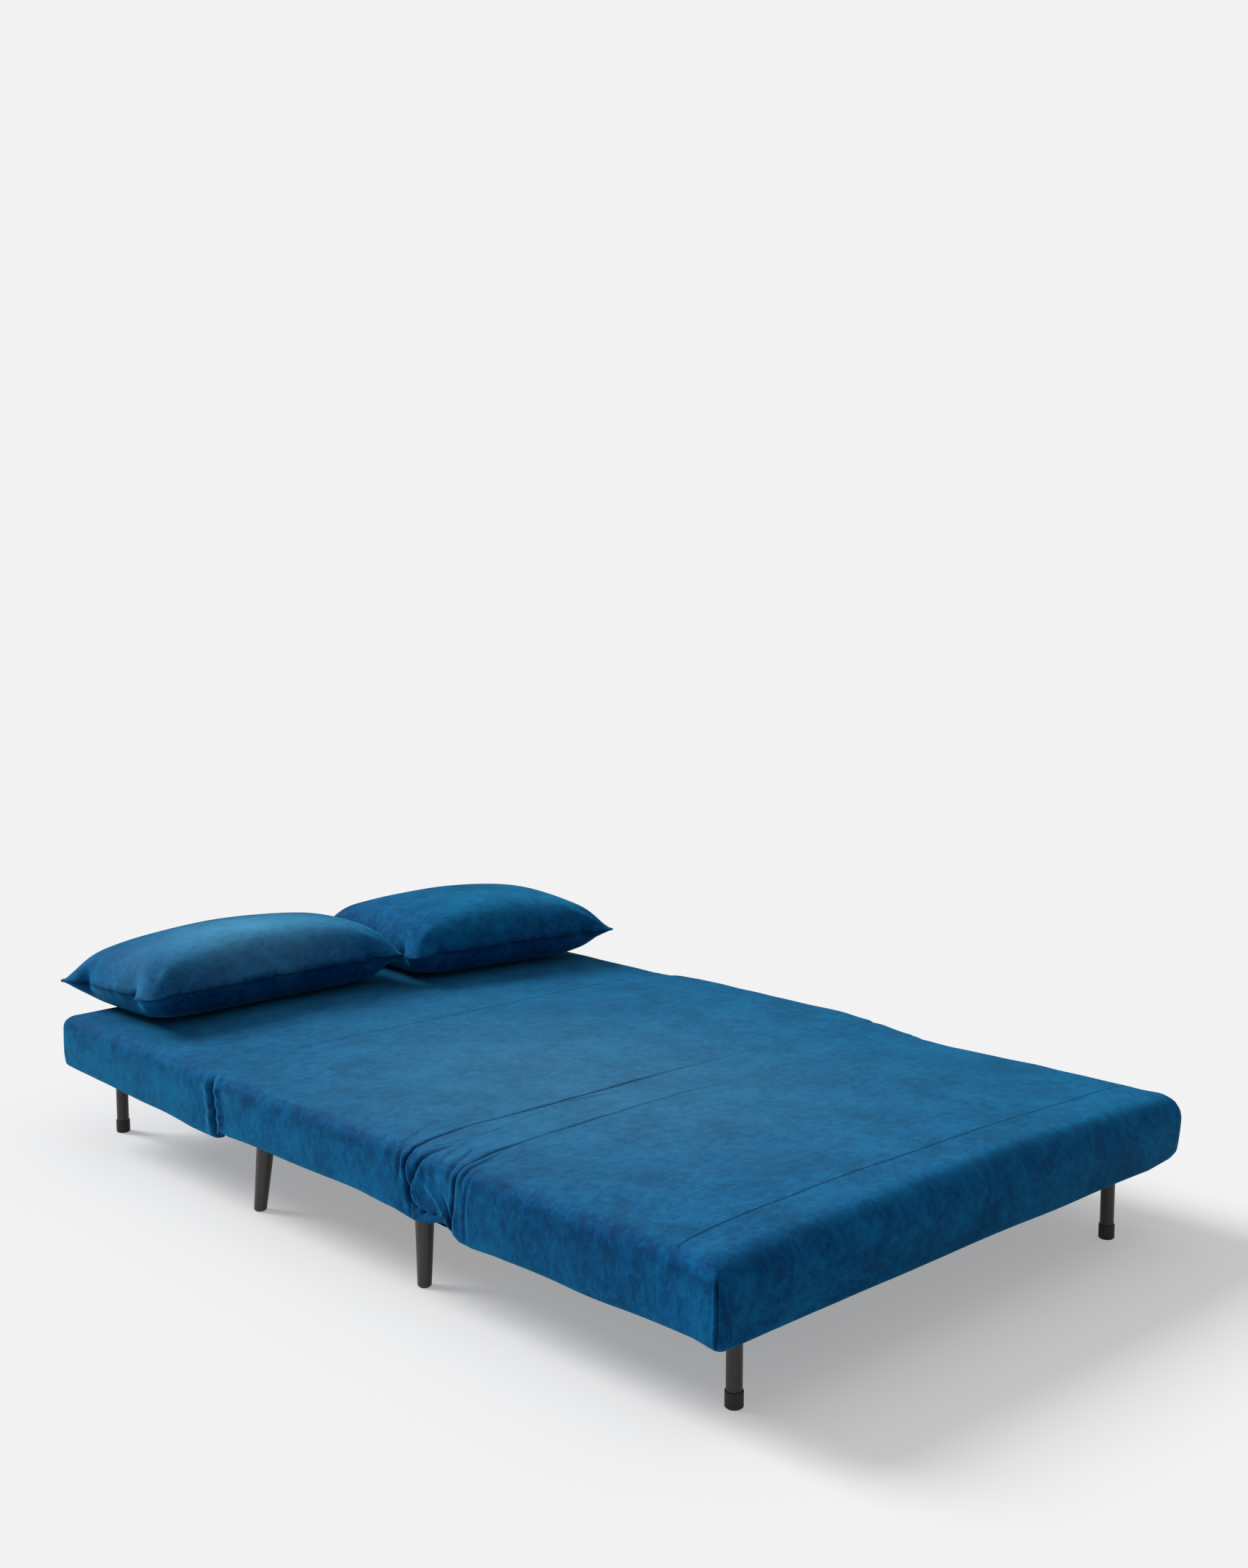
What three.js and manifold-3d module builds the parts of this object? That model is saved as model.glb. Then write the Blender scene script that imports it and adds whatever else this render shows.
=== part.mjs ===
// A click clack sofa bed, opened flat: backrest, seat and fold-out footrest on steel frames,
// with decks, foam, fabric covers, folding tube legs, tapered wooden legs and two loose pillows.
// X runs across the bed, Y from the foot end to the head end, Z up from the floor.
import * as THREE from 'three';
import { mergeVertices } from 'three/addons/utils/BufferGeometryUtils.js';
import Module from 'manifold-3d';

// Overall sizes of the opened bed
const bedWidth = 1200;
const backrestLength = 600;
const creaseWidth = 26;
const seatLength = 577;
const gapLength = 127;
const footrestLength = 570;
const pillowOverhang = 97;
const undersideHeight = 150;
const sideThickness = 112;
const crownRise = 12;

// Clearances
const fitGap = 0.3;
const runningGap = 1;
const cutOverrun = 5;

// Covers: fabric skins drawn over each section and turned under its edge
const coverThickness = 3;
const hemWidth = 10;
const sideRadius = 26;
const creaseRadius = 32;
const footEndRadius = 45;
const headEndRadius = 32;
const gussetSag = 8;
const creaseSag = 2;
const gussetLap = 14;

// Steel rails of folded angle, four under each section
const frameRecess = 10;
const frameHeight = 30;
const frameSideInset = 18;
const frameEndInset = 8;
const angleThickness = 3;
const flangeWidth = 30;
const legFlangeReach = 25;
const cornerPlateSize = 110;
const cornerPlateThickness = 4;

// Plywood deck lying on the rails of each section
const deckThickness = 8;
const deckInset = 12;
const deckCornerRadius = 25;

// Lower panels
const dustCoverThickness = 2;
const backPanelThickness = 3;
const studHoleRadius = 12;
const panelCornerRadius = 20;

// Tapered wooden legs of the seat, splayed outwards
const woodLegTopRadius = 18;
const woodLegFootRadius = 12.2;
const woodLegFootEdge = 3;
const woodLegTopSideInset = 70;
const woodLegTopBackInset = 36;
const woodLegTopFrontInset = 59;
const woodLegSplay = 11.5;
const studRadius = 4;
const studLength = 14;
const studClearance = 2;

// Folding tube legs of the backrest and the footrest
const tubeRadius = 12.5;
const tubeWall = 1.5;
const tubePivotHeight = 170;
const tubeSideInset = 110;
const footrestLegInset = 76;
const backrestLegInset = 40;
const capWall = 1.5;
const capHeight = 26;
const capBase = 3;
const capEdge = 2;
const legPinRadius = 4;
const bracketPlate = 2.5;
const bracketDrop = 12;
const bracketInnerReach = 16;
const bracketHeadroom = 2;

// Footrest links: two plates a side, pinned to lugs on both frames
const linkReach = 13;
const linkHalfWidth = 12;
const foldClearance = 2;
const plateThickness = 4;
const lugFoot = 36;
const pinRadius = 4;
const pinHeadRadius = 8;
const pinHeadThickness = 3;

// Click clack mechanism: toothed seat arm, backrest arm and pawl on each side
const backPivotDrop = 38;
const sectorRadius = 16;
const toothDepth = 3;
const toothCount = 7;
const backArmRadius = 12;
const armBarHeight = 22;
const armBarLength = 100;
const armBarOffset = 37;
const armBarRise = 5;
const armNeckWidth = 20;
const spacerRadius = 8;
const pivotRadius = 5;
const pivotHeadRadius = 8;
const pawlPivotReach = 34;
const pawlRadius = 6;
const pawlTipGap = 0.7;
const pawlTipWidth = 3;
const pawlStudRadius = 3;
const pawlSlack = 0.3;
const notchMargin = 4;

// Loose pillows: left one on the near side, right one on the far side
const pillowLength = 610;
const pillowDepth = 376;
const pillowThickness = 160;
const pillowSeamHeight = 64;
const pillowBowShare = 0.05;
const pillowFullness = 0.45;
const leftPillowSideInset = 52;
const rightPillowLength = 520;
const rightPillowDepth = 384;
const pillowSpacing = 12;
const rightPillowShift = 62;
const rightPillowTurn = -1.5;

// Angles in degrees, and how finely curves are divided
const pawlPivotAngle = -50;
const pawlTipAngle = -10;
const toothStartAngle = -100;
const toothEndAngle = 45;
const lugArcStart = 225;
const lugArcEnd = 45;
const arcSteps = 5;
const smallArcSteps = 3;
const crownSteps = 10;
const roundSteps = 20;
const holeSteps = 12;
const pillowSteps = [10, 14];

// Places along the bed
const bedLength = backrestLength + creaseWidth + seatLength + gapLength + footrestLength;
const overallLength = bedLength + pillowOverhang;
const headEnd = overallLength / 2 - pillowOverhang;
const backrestFront = headEnd - backrestLength;
const seatBack = backrestFront - creaseWidth;
const seatFront = seatBack - seatLength;
const footrestBack = seatFront - gapLength;
const footEnd = footrestBack - footrestLength;

// Levels
const sideTop = undersideHeight + sideThickness;
const crownTop = sideTop + crownRise;
const frameBottom = undersideHeight + frameRecess;
const frameTop = frameBottom + frameHeight;
const flangeBottom = frameTop - angleThickness;
const deckBottom = frameTop + fitGap;
const foamBottom = deckBottom + deckThickness + fitGap;
const plateBottom = frameBottom - cornerPlateThickness + runningGap;
const plateTop = plateBottom + cornerPlateThickness;

// Planes across the bed, measured out from its middle line
const halfWidth = bedWidth / 2;
const skirtInner = halfWidth - coverThickness;
const frameOuter = halfWidth - frameSideInset;
const lugInner = frameOuter - angleThickness;
const innerPlane = frameOuter + fitGap;
const outerPlane = innerPlane + plateThickness + fitGap;
const pinHeadInner = lugInner - fitGap - pinHeadThickness;
const notchInner = pinHeadInner - runningGap;

// Pivots
const linkSeatPivot = seatFront - linkReach;
const linkFootPivot = footrestBack + linkReach;
const linkLength = linkSeatPivot - linkFootPivot;
const linkPivotHeight = crownTop - linkLength / 2 + foldClearance;
const backPivot = (seatBack + backrestFront) / 2;
const backPivotHeight = crownTop - backPivotDrop;

// Materials
function finish(color, roughness, metalness) {
  return new THREE.MeshStandardMaterial({ color, roughness, metalness });
}
const velvet = finish(0x07527f, 0.9, 0);
const foamed = finish(0xe8dfc4, 0.95, 0);
const lining = finish(0x1a1a1c, 0.95, 0);
const steel = finish(0x2a2a2c, 0.5, 0.6);
const zinc = finish(0xb4b6b8, 0.4, 0.8);
const beech = finish(0xc79a63, 0.7, 0);
const darkWood = finish(0x2b2626, 0.55, 0);
const rubber = finish(0x141414, 0.85, 0);

const wasm = await Module();
wasm.setup();
const part = new THREE.Group();

// Solids that are cut or joined are held as manifolds and turned back into geometries at the end.
function solid(geometry) {
  const bare = geometry.clone();
  bare.deleteAttribute('normal');
  bare.deleteAttribute('uv');
  const merged = mergeVertices(bare);
  return new wasm.Manifold(new wasm.Mesh({
    numProp: 3,
    vertProperties: merged.attributes.position.array,
    triVerts: merged.index.array,
  }));
}

function toGeometry(manifold) {
  const mesh = manifold.getMesh();
  const geometry = new THREE.BufferGeometry();
  geometry.setAttribute('position', new THREE.BufferAttribute(mesh.vertProperties, mesh.numProp));
  geometry.setIndex(new THREE.BufferAttribute(mesh.triVerts, 1));
  geometry.computeVertexNormals();
  return geometry;
}

function addPiece(name, shape, material) {
  const geometry = shape.isBufferGeometry ? shape : toGeometry(shape);
  const mesh = new THREE.Mesh(geometry, material);
  mesh.name = name;
  part.add(mesh);
  return mesh;
}

// A box between two corners
function block(low, high) {
  const size = high.map((value, axis) => value - low[axis]);
  const middle = high.map((value, axis) => (value + low[axis]) / 2);
  const geometry = new THREE.BoxGeometry(...size);
  geometry.translate(...middle);
  return solid(geometry);
}

// A closed outline in the Y-Z plane carried along X from one place to another
function alongX(shape, from, to) {
  const options = { depth: to - from, bevelEnabled: false, curveSegments: smallArcSteps };
  const geometry = new THREE.ExtrudeGeometry(shape, options);
  const basis = new THREE.Matrix4().makeBasis(
    new THREE.Vector3(0, 1, 0),
    new THREE.Vector3(0, 0, 1),
    new THREE.Vector3(1, 0, 0),
  );
  geometry.applyMatrix4(basis);
  geometry.translate(from, 0, 0);
  return geometry;
}

// A closed outline in the X-Z plane carried along Y from one place to another
function alongY(shape, from, to) {
  const geometry = new THREE.ExtrudeGeometry(shape, { depth: to - from, bevelEnabled: false });
  const basis = new THREE.Matrix4().makeBasis(
    new THREE.Vector3(1, 0, 0),
    new THREE.Vector3(0, 0, 1),
    new THREE.Vector3(0, -1, 0),
  );
  geometry.applyMatrix4(basis);
  geometry.translate(0, to, 0);
  return geometry;
}

// A closed outline in the X-Y plane carried up along Z
function alongZ(shape, from, to) {
  const options = { depth: to - from, bevelEnabled: false, curveSegments: smallArcSteps };
  const geometry = new THREE.ExtrudeGeometry(shape, options);
  geometry.translate(0, 0, from);
  return geometry;
}

// A round bar along X
function rodX(radius, from, to, y, z, steps = holeSteps) {
  const geometry = new THREE.CylinderGeometry(radius, radius, to - from, steps);
  geometry.rotateZ(Math.PI / 2);
  geometry.translate((from + to) / 2, y, z);
  return solid(geometry);
}

// A round bar along Y
function rodY(radius, from, to, x, z, steps = holeSteps) {
  const geometry = new THREE.CylinderGeometry(radius, radius, to - from, steps);
  geometry.translate(x, (from + to) / 2, z);
  return solid(geometry);
}

// Points of an arc, with its angles in degrees
function arc(centreX, centreY, radius, start, end, steps) {
  const points = [];
  for (let i = 0; i <= steps; i += 1) {
    const angle = THREE.MathUtils.degToRad(start + ((end - start) * i) / steps);
    points.push(new THREE.Vector2(centreX + radius * Math.cos(angle), centreY + radius * Math.sin(angle)));
  }
  return points;
}

function roundedRectangle(low, high, radius) {
  return new THREE.Shape([
    ...arc(high[0] - radius, low[1] + radius, radius, -90, 0, smallArcSteps),
    ...arc(high[0] - radius, high[1] - radius, radius, 0, 90, smallArcSteps),
    ...arc(low[0] + radius, high[1] - radius, radius, 90, 180, smallArcSteps),
    ...arc(low[0] + radius, low[1] + radius, radius, 180, 270, smallArcSteps),
  ]);
}

// Height of the crowned top at a place across the bed, before any inset
function topHeight(x) {
  const flat = halfWidth - sideRadius;
  const share = Math.min(Math.abs(x) / flat, 1);
  return sideTop + crownRise * (1 - share * share);
}

// Outline across the bed: straight sides, rounded shoulders and a crowned top
function acrossOutline(inset, drop, bottom) {
  const half = halfWidth - inset;
  const radius = sideRadius - inset;
  const shoulder = half - radius;
  const top = sideTop - inset - drop;
  const crown = [];
  for (let i = 1; i < crownSteps; i += 1) {
    const share = 1 - (2 * i) / crownSteps;
    crown.push(new THREE.Vector2(shoulder * share, top + crownRise * (1 - share * share)));
  }
  return new THREE.Shape([
    new THREE.Vector2(-half, bottom),
    new THREE.Vector2(half, bottom),
    ...arc(shoulder, top - radius, radius, 0, 90, arcSteps),
    ...crown,
    ...arc(-shoulder, top - radius, radius, 90, 180, arcSteps),
  ]);
}

// Outline along one section: upright ends and a top that rolls over each of them
function lengthOutline(section, inset, bottom) {
  const { low, high, lowRadius, highRadius } = section;
  const top = crownTop - inset;
  return new THREE.Shape([
    new THREE.Vector2(low + inset, bottom),
    new THREE.Vector2(high - inset, bottom),
    ...arc(high - highRadius, top - highRadius + inset, highRadius - inset, 0, 90, arcSteps),
    ...arc(low + lowRadius, top - lowRadius + inset, lowRadius - inset, 90, 180, arcSteps),
  ]);
}

function sectionBody(section, inset, bottom) {
  const low = section.low - cutOverrun;
  const high = section.high + cutOverrun;
  const across = solid(alongY(acrossOutline(inset, 0, bottom), low, high));
  const outline = lengthOutline(section, inset, bottom);
  const lengthwise = solid(alongX(outline, -halfWidth - cutOverrun, halfWidth + cutOverrun));
  return across.intersect(lengthwise);
}

const backrest = {
  name: 'backrest', low: backrestFront, high: headEnd, lowRadius: creaseRadius, highRadius: headEndRadius,
  legPlace: headEnd - backrestLegInset,
};
const seat = {
  name: 'seat', low: seatFront, high: seatBack, lowRadius: creaseRadius, highRadius: creaseRadius,
};
const footrest = {
  name: 'footrest', low: footEnd, high: footrestBack, lowRadius: footEndRadius, highRadius: creaseRadius,
  legPlace: footEnd + footrestLegInset,
};

const sides = [{ name: 'left', sign: -1 }, { name: 'right', sign: 1 }];

// Both sides of the bed: a box given by its distances out from the middle line
function sideBlocks(inner, outer, lowY, highY, lowZ, highZ) {
  const left = block([-outer, lowY, lowZ], [-inner, highY, highZ]);
  const right = block([inner, lowY, lowZ], [outer, highY, highZ]);
  return left.add(right);
}

// Room that the mechanism needs in the end walls of a cover, at the crease and at the gap
function hardwareRoom(section, margin) {
  const low = frameBottom - runningGap;
  const outer = skirtInner - runningGap;
  const rooms = [];
  if (section !== footrest) {
    const end = section === seat ? seatBack : backrestFront;
    const reach = sectorRadius + margin;
    const away = coverThickness + margin;
    rooms.push(sideBlocks(notchInner, outer, end - away, end + away, low, backPivotHeight));
    rooms.push(rodX(reach, notchInner, outer, backPivot, backPivotHeight, roundSteps));
    rooms.push(rodX(reach, -outer, -notchInner, backPivot, backPivotHeight, roundSteps));
  }
  if (section !== backrest) {
    const end = section === seat ? seatFront : footrestBack;
    const top = linkPivotHeight + linkHalfWidth + margin;
    const away = coverThickness + margin;
    rooms.push(sideBlocks(notchInner, outer, end - away, end + away, low, top));
  }
  return rooms;
}

// Fabric cover: a skin over the section, with its hem turned under the frame
function addCover(section) {
  let cover = sectionBody(section, 0, undersideHeight);
  cover = cover.subtract(sectionBody(section, coverThickness, undersideHeight + coverThickness));
  const hem = coverThickness + hemWidth;
  const opening = block(
    [-halfWidth + hem, section.low + hem, undersideHeight - cutOverrun],
    [halfWidth - hem, section.high - hem, undersideHeight + coverThickness + runningGap],
  );
  cover = cover.subtract(opening);
  for (const room of hardwareRoom(section, runningGap)) {
    cover = cover.subtract(room);
  }
  addPiece(`${section.name}_cover`, cover, velvet);
}

// Foam pad: fills the cover above the deck, cut away where the hinges stand
function addFoam(section) {
  let foam = sectionBody(section, coverThickness + fitGap, foamBottom);
  const reach = armBarOffset + notchMargin;
  const outer = halfWidth + cutOverrun;
  const top = backPivotHeight + sectorRadius + notchMargin;
  if (section !== footrest) {
    const end = section === seat ? seatBack - reach : backrestFront + reach;
    const low = Math.min(end, backPivot);
    const high = Math.max(end, backPivot);
    foam = foam.subtract(sideBlocks(notchInner, outer, low, high, frameBottom, top));
  }
  if (section !== backrest) {
    const end = section === seat ? seatFront + reach : footrestBack - reach;
    const low = Math.min(end, section === seat ? seatFront - cutOverrun : end);
    const high = Math.max(end, section === seat ? end : footrestBack + cutOverrun);
    foam = foam.subtract(sideBlocks(notchInner, outer, low, high, frameBottom, top));
  }
  addPiece(`${section.name}_foam`, foam, foamed);
}

// Lug that carries one end of a footrest link, standing up from a side rail
function linkLug(frameEnd, pivot, toGap) {
  const arcPoints = arc(0, 0, linkHalfWidth, lugArcStart, lugArcEnd, 2 * smallArcSteps)
    .map((point) => new THREE.Vector2(pivot - toGap * point.x, linkPivotHeight + point.y));
  return new THREE.Shape([
    new THREE.Vector2(frameEnd - toGap * lugFoot, frameBottom + runningGap),
    new THREE.Vector2(frameEnd - toGap * runningGap, frameBottom + runningGap),
    ...arcPoints,
    new THREE.Vector2(frameEnd - toGap * lugFoot, frameTop),
  ]);
}

// An outline between two planes on one side of the bed
function sidePlate(shape, sign, inner, outer) {
  const planes = [sign * inner, sign * outer].sort((a, b) => a - b);
  return solid(alongX(shape, planes[0], planes[1]));
}

// A box on one side of the bed, given by its distances out from the middle line
function sideBlock(sign, inner, outer, lowY, highY, lowZ, highZ) {
  const planes = [sign * inner, sign * outer].sort((a, b) => a - b);
  return block([planes[0], lowY, lowZ], [planes[1], highY, highZ]);
}

// Side rail: folded angle with its flange on top, its lug for the link and the plates for the wooden legs
function sideRail(section, sign) {
  const low = section.low + frameEndInset;
  const high = section.high - frameEndInset;
  let rail = sideBlock(sign, lugInner, frameOuter, low, high, frameBottom, frameTop);
  rail = rail.add(sideBlock(sign, frameOuter - flangeWidth, frameOuter, low, high, flangeBottom, frameTop));
  if (section === seat) {
    const reach = frameOuter - cornerPlateSize;
    const headPlate = [high - cornerPlateSize, high - runningGap];
    const footPlate = [low + runningGap, low + cornerPlateSize];
    rail = rail.add(sideBlock(sign, reach, frameOuter, ...headPlate, plateBottom, plateTop));
    rail = rail.add(sideBlock(sign, reach, frameOuter, ...footPlate, plateBottom, plateTop));
    for (const place of woodLegPlaces()) {
      const radius = studRadius + studClearance;
      const depth = cornerPlateThickness + 2 * cutOverrun;
      const hole = new THREE.CylinderGeometry(radius, radius, depth, holeSteps);
      hole.rotateX(Math.PI / 2);
      hole.translate(place.x, place.y, (plateBottom + plateTop) / 2);
      rail = rail.subtract(solid(hole));
    }
  }
  if (section !== backrest) {
    const toGap = section === seat ? -1 : 1;
    const pivot = section === seat ? linkSeatPivot : linkFootPivot;
    const outline = linkLug(section === seat ? low : high, pivot, toGap);
    rail = rail.add(sidePlate(outline, sign, lugInner, frameOuter));
    rail = rail.subtract(rodX(pinRadius + fitGap, -halfWidth, halfWidth, pivot, linkPivotHeight));
  }
  return rail;
}

// End rail between the side rails: toSection is 1 when the section lies towards the head from it
function endRail(end, toSection, flangeEnd) {
  const half = lugInner - fitGap;
  const web = [end, end + toSection * angleThickness].sort((a, b) => a - b);
  const flange = [end, flangeEnd].sort((a, b) => a - b);
  let rail = block([-half, web[0], plateTop + fitGap], [half, web[1], frameTop]);
  rail = rail.add(block([-half, flange[0], flangeBottom], [half, flange[1], frameTop]));
  const reach = frameOuter - flangeWidth - fitGap;
  const low = flange[0] - cutOverrun;
  const high = flange[1] + cutOverrun;
  const bottom = flangeBottom - fitGap;
  return rail.subtract(sideBlocks(reach, halfWidth, low, high, bottom, frameTop + cutOverrun));
}

// Steel frame of one section; the flange at the folding legs is wide enough to carry their brackets
function addFrame(section) {
  for (const side of sides) {
    addPiece(`${section.name}_rail_${side.name}`, sideRail(section, side.sign), steel);
  }
  const low = section.low + frameEndInset;
  const high = section.high - frameEndInset;
  const lowFlange = section === footrest ? section.legPlace + legFlangeReach : low + flangeWidth;
  const highFlange = section === backrest ? section.legPlace - legFlangeReach : high - flangeWidth;
  addPiece(`${section.name}_rail_foot_end`, endRail(low, 1, lowFlange), steel);
  addPiece(`${section.name}_rail_head_end`, endRail(high, -1, highFlange), steel);
}

// Places of the four wooden legs, at the top and at the floor
function woodLegPlaces() {
  const places = [];
  for (const side of sides) {
    places.push({
      name: `seat_leg_back_${side.name}`,
      x: side.sign * (halfWidth - woodLegTopSideInset),
      y: seatBack - woodLegTopBackInset,
      splayX: side.sign,
      splayY: 1,
    });
    places.push({
      name: `seat_leg_front_${side.name}`,
      x: side.sign * (halfWidth - woodLegTopSideInset),
      y: seatFront + woodLegTopFrontInset,
      splayX: side.sign,
      splayY: -1,
    });
  }
  return places;
}

// Tapered wooden leg with a threaded stud, sheared so that it splays while both ends stay level
function addWoodLegs() {
  const top = plateBottom - fitGap;
  const profile = [
    new THREE.Vector2(0, 0),
    new THREE.Vector2(woodLegFootRadius - woodLegFootEdge, 0),
    new THREE.Vector2(woodLegFootRadius, woodLegFootEdge),
    new THREE.Vector2(woodLegTopRadius, top),
    new THREE.Vector2(studRadius, top),
    new THREE.Vector2(studRadius, top + studLength),
    new THREE.Vector2(0, top + studLength),
  ];
  for (const place of woodLegPlaces()) {
    const geometry = new THREE.LatheGeometry(profile, roundSteps);
    geometry.rotateX(Math.PI / 2);
    const lean = woodLegSplay / top;
    const shear = new THREE.Matrix4().set(
      1, 0, -place.splayX * lean, place.x + place.splayX * woodLegSplay,
      0, 1, -place.splayY * lean, place.y + place.splayY * woodLegSplay,
      0, 0, 1, 0,
      0, 0, 0, 1,
    );
    geometry.applyMatrix4(shear);
    addPiece(place.name, solid(geometry), darkWood);
  }
}

// Plywood deck on the rails, under the foam
function addDeck(section) {
  const half = frameOuter - deckInset;
  const low = section.low + frameEndInset + deckInset;
  const high = section.high - frameEndInset - deckInset;
  const outline = roundedRectangle([-half, low], [half, high], deckCornerRadius);
  addPiece(`${section.name}_deck`, solid(alongZ(outline, deckBottom, deckBottom + deckThickness)), beech);
}

// Lower panels: dust cover of the seat, back panel of the backrest and seat pad of the folded footrest
function addPanels() {
  const half = lugInner - runningGap;
  const dustBottom = plateTop + fitGap;
  const dustOutline = roundedRectangle(
    [-half, seatFront + frameEndInset + angleThickness + runningGap],
    [half, seatBack - frameEndInset - angleThickness - runningGap],
    panelCornerRadius,
  );
  for (const place of woodLegPlaces()) {
    const hole = new THREE.Path();
    hole.absarc(place.x, place.y, studHoleRadius, 0, 2 * Math.PI, true);
    dustOutline.holes.push(hole);
  }
  const dustCover = solid(alongZ(dustOutline, dustBottom, dustBottom + dustCoverThickness));
  addPiece('seat_dust_cover', dustCover, lining);

  const legRoom = tubeRadius + bracketPlate + bracketPlate + 2 * runningGap;
  const backPanel = roundedRectangle(
    [-lugInner, backrestFront + frameEndInset],
    [lugInner, backrest.legPlace - legRoom],
    panelCornerRadius,
  );
  const backTop = frameBottom - fitGap;
  addPiece('backrest_back_panel', solid(alongZ(backPanel, backTop - backPanelThickness, backTop)), velvet);

  const padOutline = roundedRectangle(
    [-half, footrest.legPlace + legRoom],
    [half, footrestBack - frameEndInset - angleThickness - runningGap],
    panelCornerRadius,
  );
  const seatPad = solid(alongZ(padOutline, frameBottom - runningGap, flangeBottom - fitGap));
  addPiece('footrest_seat_pad', seatPad, velvet);
}

// Folding tube leg, hanging from its pin: closed and rounded above, open below inside a rubber cap
function addTubeLegs(section) {
  const innerRadius = tubeRadius - tubeWall;
  const foot = capBase + fitGap;
  const tubeProfile = [
    new THREE.Vector2(0, tubePivotHeight - tubeRadius),
    new THREE.Vector2(innerRadius, tubePivotHeight - tubeRadius),
    new THREE.Vector2(innerRadius, foot),
    new THREE.Vector2(tubeRadius, foot),
    ...arc(0, tubePivotHeight, tubeRadius, 0, 90, smallArcSteps),
  ];
  tubeProfile[tubeProfile.length - 1].x = 0;
  const capInner = tubeRadius + fitGap;
  const capOuter = capInner + capWall;
  const capProfile = [
    new THREE.Vector2(0, 0),
    new THREE.Vector2(capOuter - capEdge, 0),
    new THREE.Vector2(capOuter, capEdge),
    new THREE.Vector2(capOuter, capHeight),
    new THREE.Vector2(capInner, capHeight),
    new THREE.Vector2(capInner, capBase),
    new THREE.Vector2(0, capBase),
  ];
  for (const side of sides) {
    const x = side.sign * (halfWidth - tubeSideInset);
    const tube = new THREE.LatheGeometry(tubeProfile, roundSteps);
    tube.rotateX(Math.PI / 2);
    const bore = rodY(legPinRadius + fitGap, -capOuter, capOuter, 0, tubePivotHeight);
    const leg = addPiece(`${section.name}_leg_${side.name}`, solid(tube).subtract(bore), steel);
    leg.position.set(x, section.legPlace, 0);
    const cap = new THREE.LatheGeometry(capProfile, roundSteps);
    cap.rotateX(Math.PI / 2);
    const foot = addPiece(`${section.name}_leg_cap_${side.name}`, solid(cap), rubber);
    foot.position.set(x, section.legPlace, 0);
    addPiece(`${section.name}_leg_bracket_${side.name}`, legBracket(x, section.legPlace, side.sign), steel);
  }
}

// Bracket for a folding leg: two cheeks, a top plate, a stop on the outer side and a riveted pin
function legBracket(x, y, sign) {
  const cheek = tubeRadius + runningGap;
  const outer = cheek + bracketPlate;
  const top = flangeBottom - fitGap;
  const plateUnder = tubePivotHeight + tubeRadius + bracketHeadroom;
  const bottom = tubePivotHeight - bracketDrop;
  const reaches = [x - sign * bracketInnerReach, x + sign * outer].sort((a, b) => a - b);
  const stops = [x + sign * cheek, x + sign * outer].sort((a, b) => a - b);
  let bracket = block([reaches[0], y - outer, plateUnder], [reaches[1], y + outer, top]);
  bracket = bracket.add(block([reaches[0], y - outer, bottom], [reaches[1], y - cheek, top]));
  bracket = bracket.add(block([reaches[0], y + cheek, bottom], [reaches[1], y + outer, top]));
  bracket = bracket.add(block([stops[0], y - outer, bottom], [stops[1], y + outer, top]));
  return bracket.add(rodY(legPinRadius, y - outer, y + outer, x, tubePivotHeight));
}

// Headed pin along X through the plates between two planes, on either side of the bed
function headedPin(sign, inner, outer, y, z, radius, headRadius) {
  const from = inner - fitGap - pinHeadThickness;
  const to = outer + fitGap + pinHeadThickness;
  const profile = [
    new THREE.Vector2(0, from),
    new THREE.Vector2(headRadius, from),
    new THREE.Vector2(headRadius, inner - fitGap),
    new THREE.Vector2(radius, inner - fitGap),
    new THREE.Vector2(radius, outer + fitGap),
    new THREE.Vector2(headRadius, outer + fitGap),
    new THREE.Vector2(headRadius, to),
    new THREE.Vector2(0, to),
  ];
  const geometry = new THREE.LatheGeometry(profile, holeSteps);
  geometry.rotateZ((-sign * Math.PI) / 2);
  geometry.translate(0, y, z);
  return solid(geometry);
}

// Links between the seat and the footrest
function addLinks() {
  for (const side of sides) {
    const outline = new THREE.Shape([
      ...arc(linkSeatPivot, linkPivotHeight, linkHalfWidth, -90, 90, 2 * smallArcSteps),
      ...arc(linkFootPivot, linkPivotHeight, linkHalfWidth, 90, 270, 2 * smallArcSteps),
    ]);
    let link = sidePlate(outline, side.sign, innerPlane, innerPlane + plateThickness);
    const pivots = [{ name: 'seat', y: linkSeatPivot }, { name: 'footrest', y: linkFootPivot }];
    for (const pivot of pivots) {
      link = link.subtract(rodX(pinRadius + fitGap, -halfWidth, halfWidth, pivot.y, linkPivotHeight));
      const planes = [lugInner, innerPlane + plateThickness];
      const pin = headedPin(side.sign, ...planes, pivot.y, linkPivotHeight, pinRadius, pinHeadRadius);
      addPiece(`link_pin_${pivot.name}_${side.name}`, pin, zinc);
    }
    addPiece(`footrest_link_${side.name}`, link, steel);
  }
}

// Outline of the bar and neck of a click clack arm; away is 1 towards the head and -1 towards the foot
function armOutline(away) {
  const low = frameBottom + armBarRise;
  const high = low + armBarHeight;
  const near = backPivot + away * armBarOffset;
  const far = near + away * armBarLength;
  const halfNeck = armNeckWidth / 2;
  return new THREE.Shape([
    new THREE.Vector2(far, low),
    new THREE.Vector2(near - away * halfNeck, low),
    new THREE.Vector2(backPivot - away * (halfNeck / 2), backPivotHeight - halfNeck),
    new THREE.Vector2(backPivot + away * halfNeck, backPivotHeight),
    new THREE.Vector2(near + away * halfNeck, high),
    new THREE.Vector2(far, high),
  ]);
}

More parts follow.
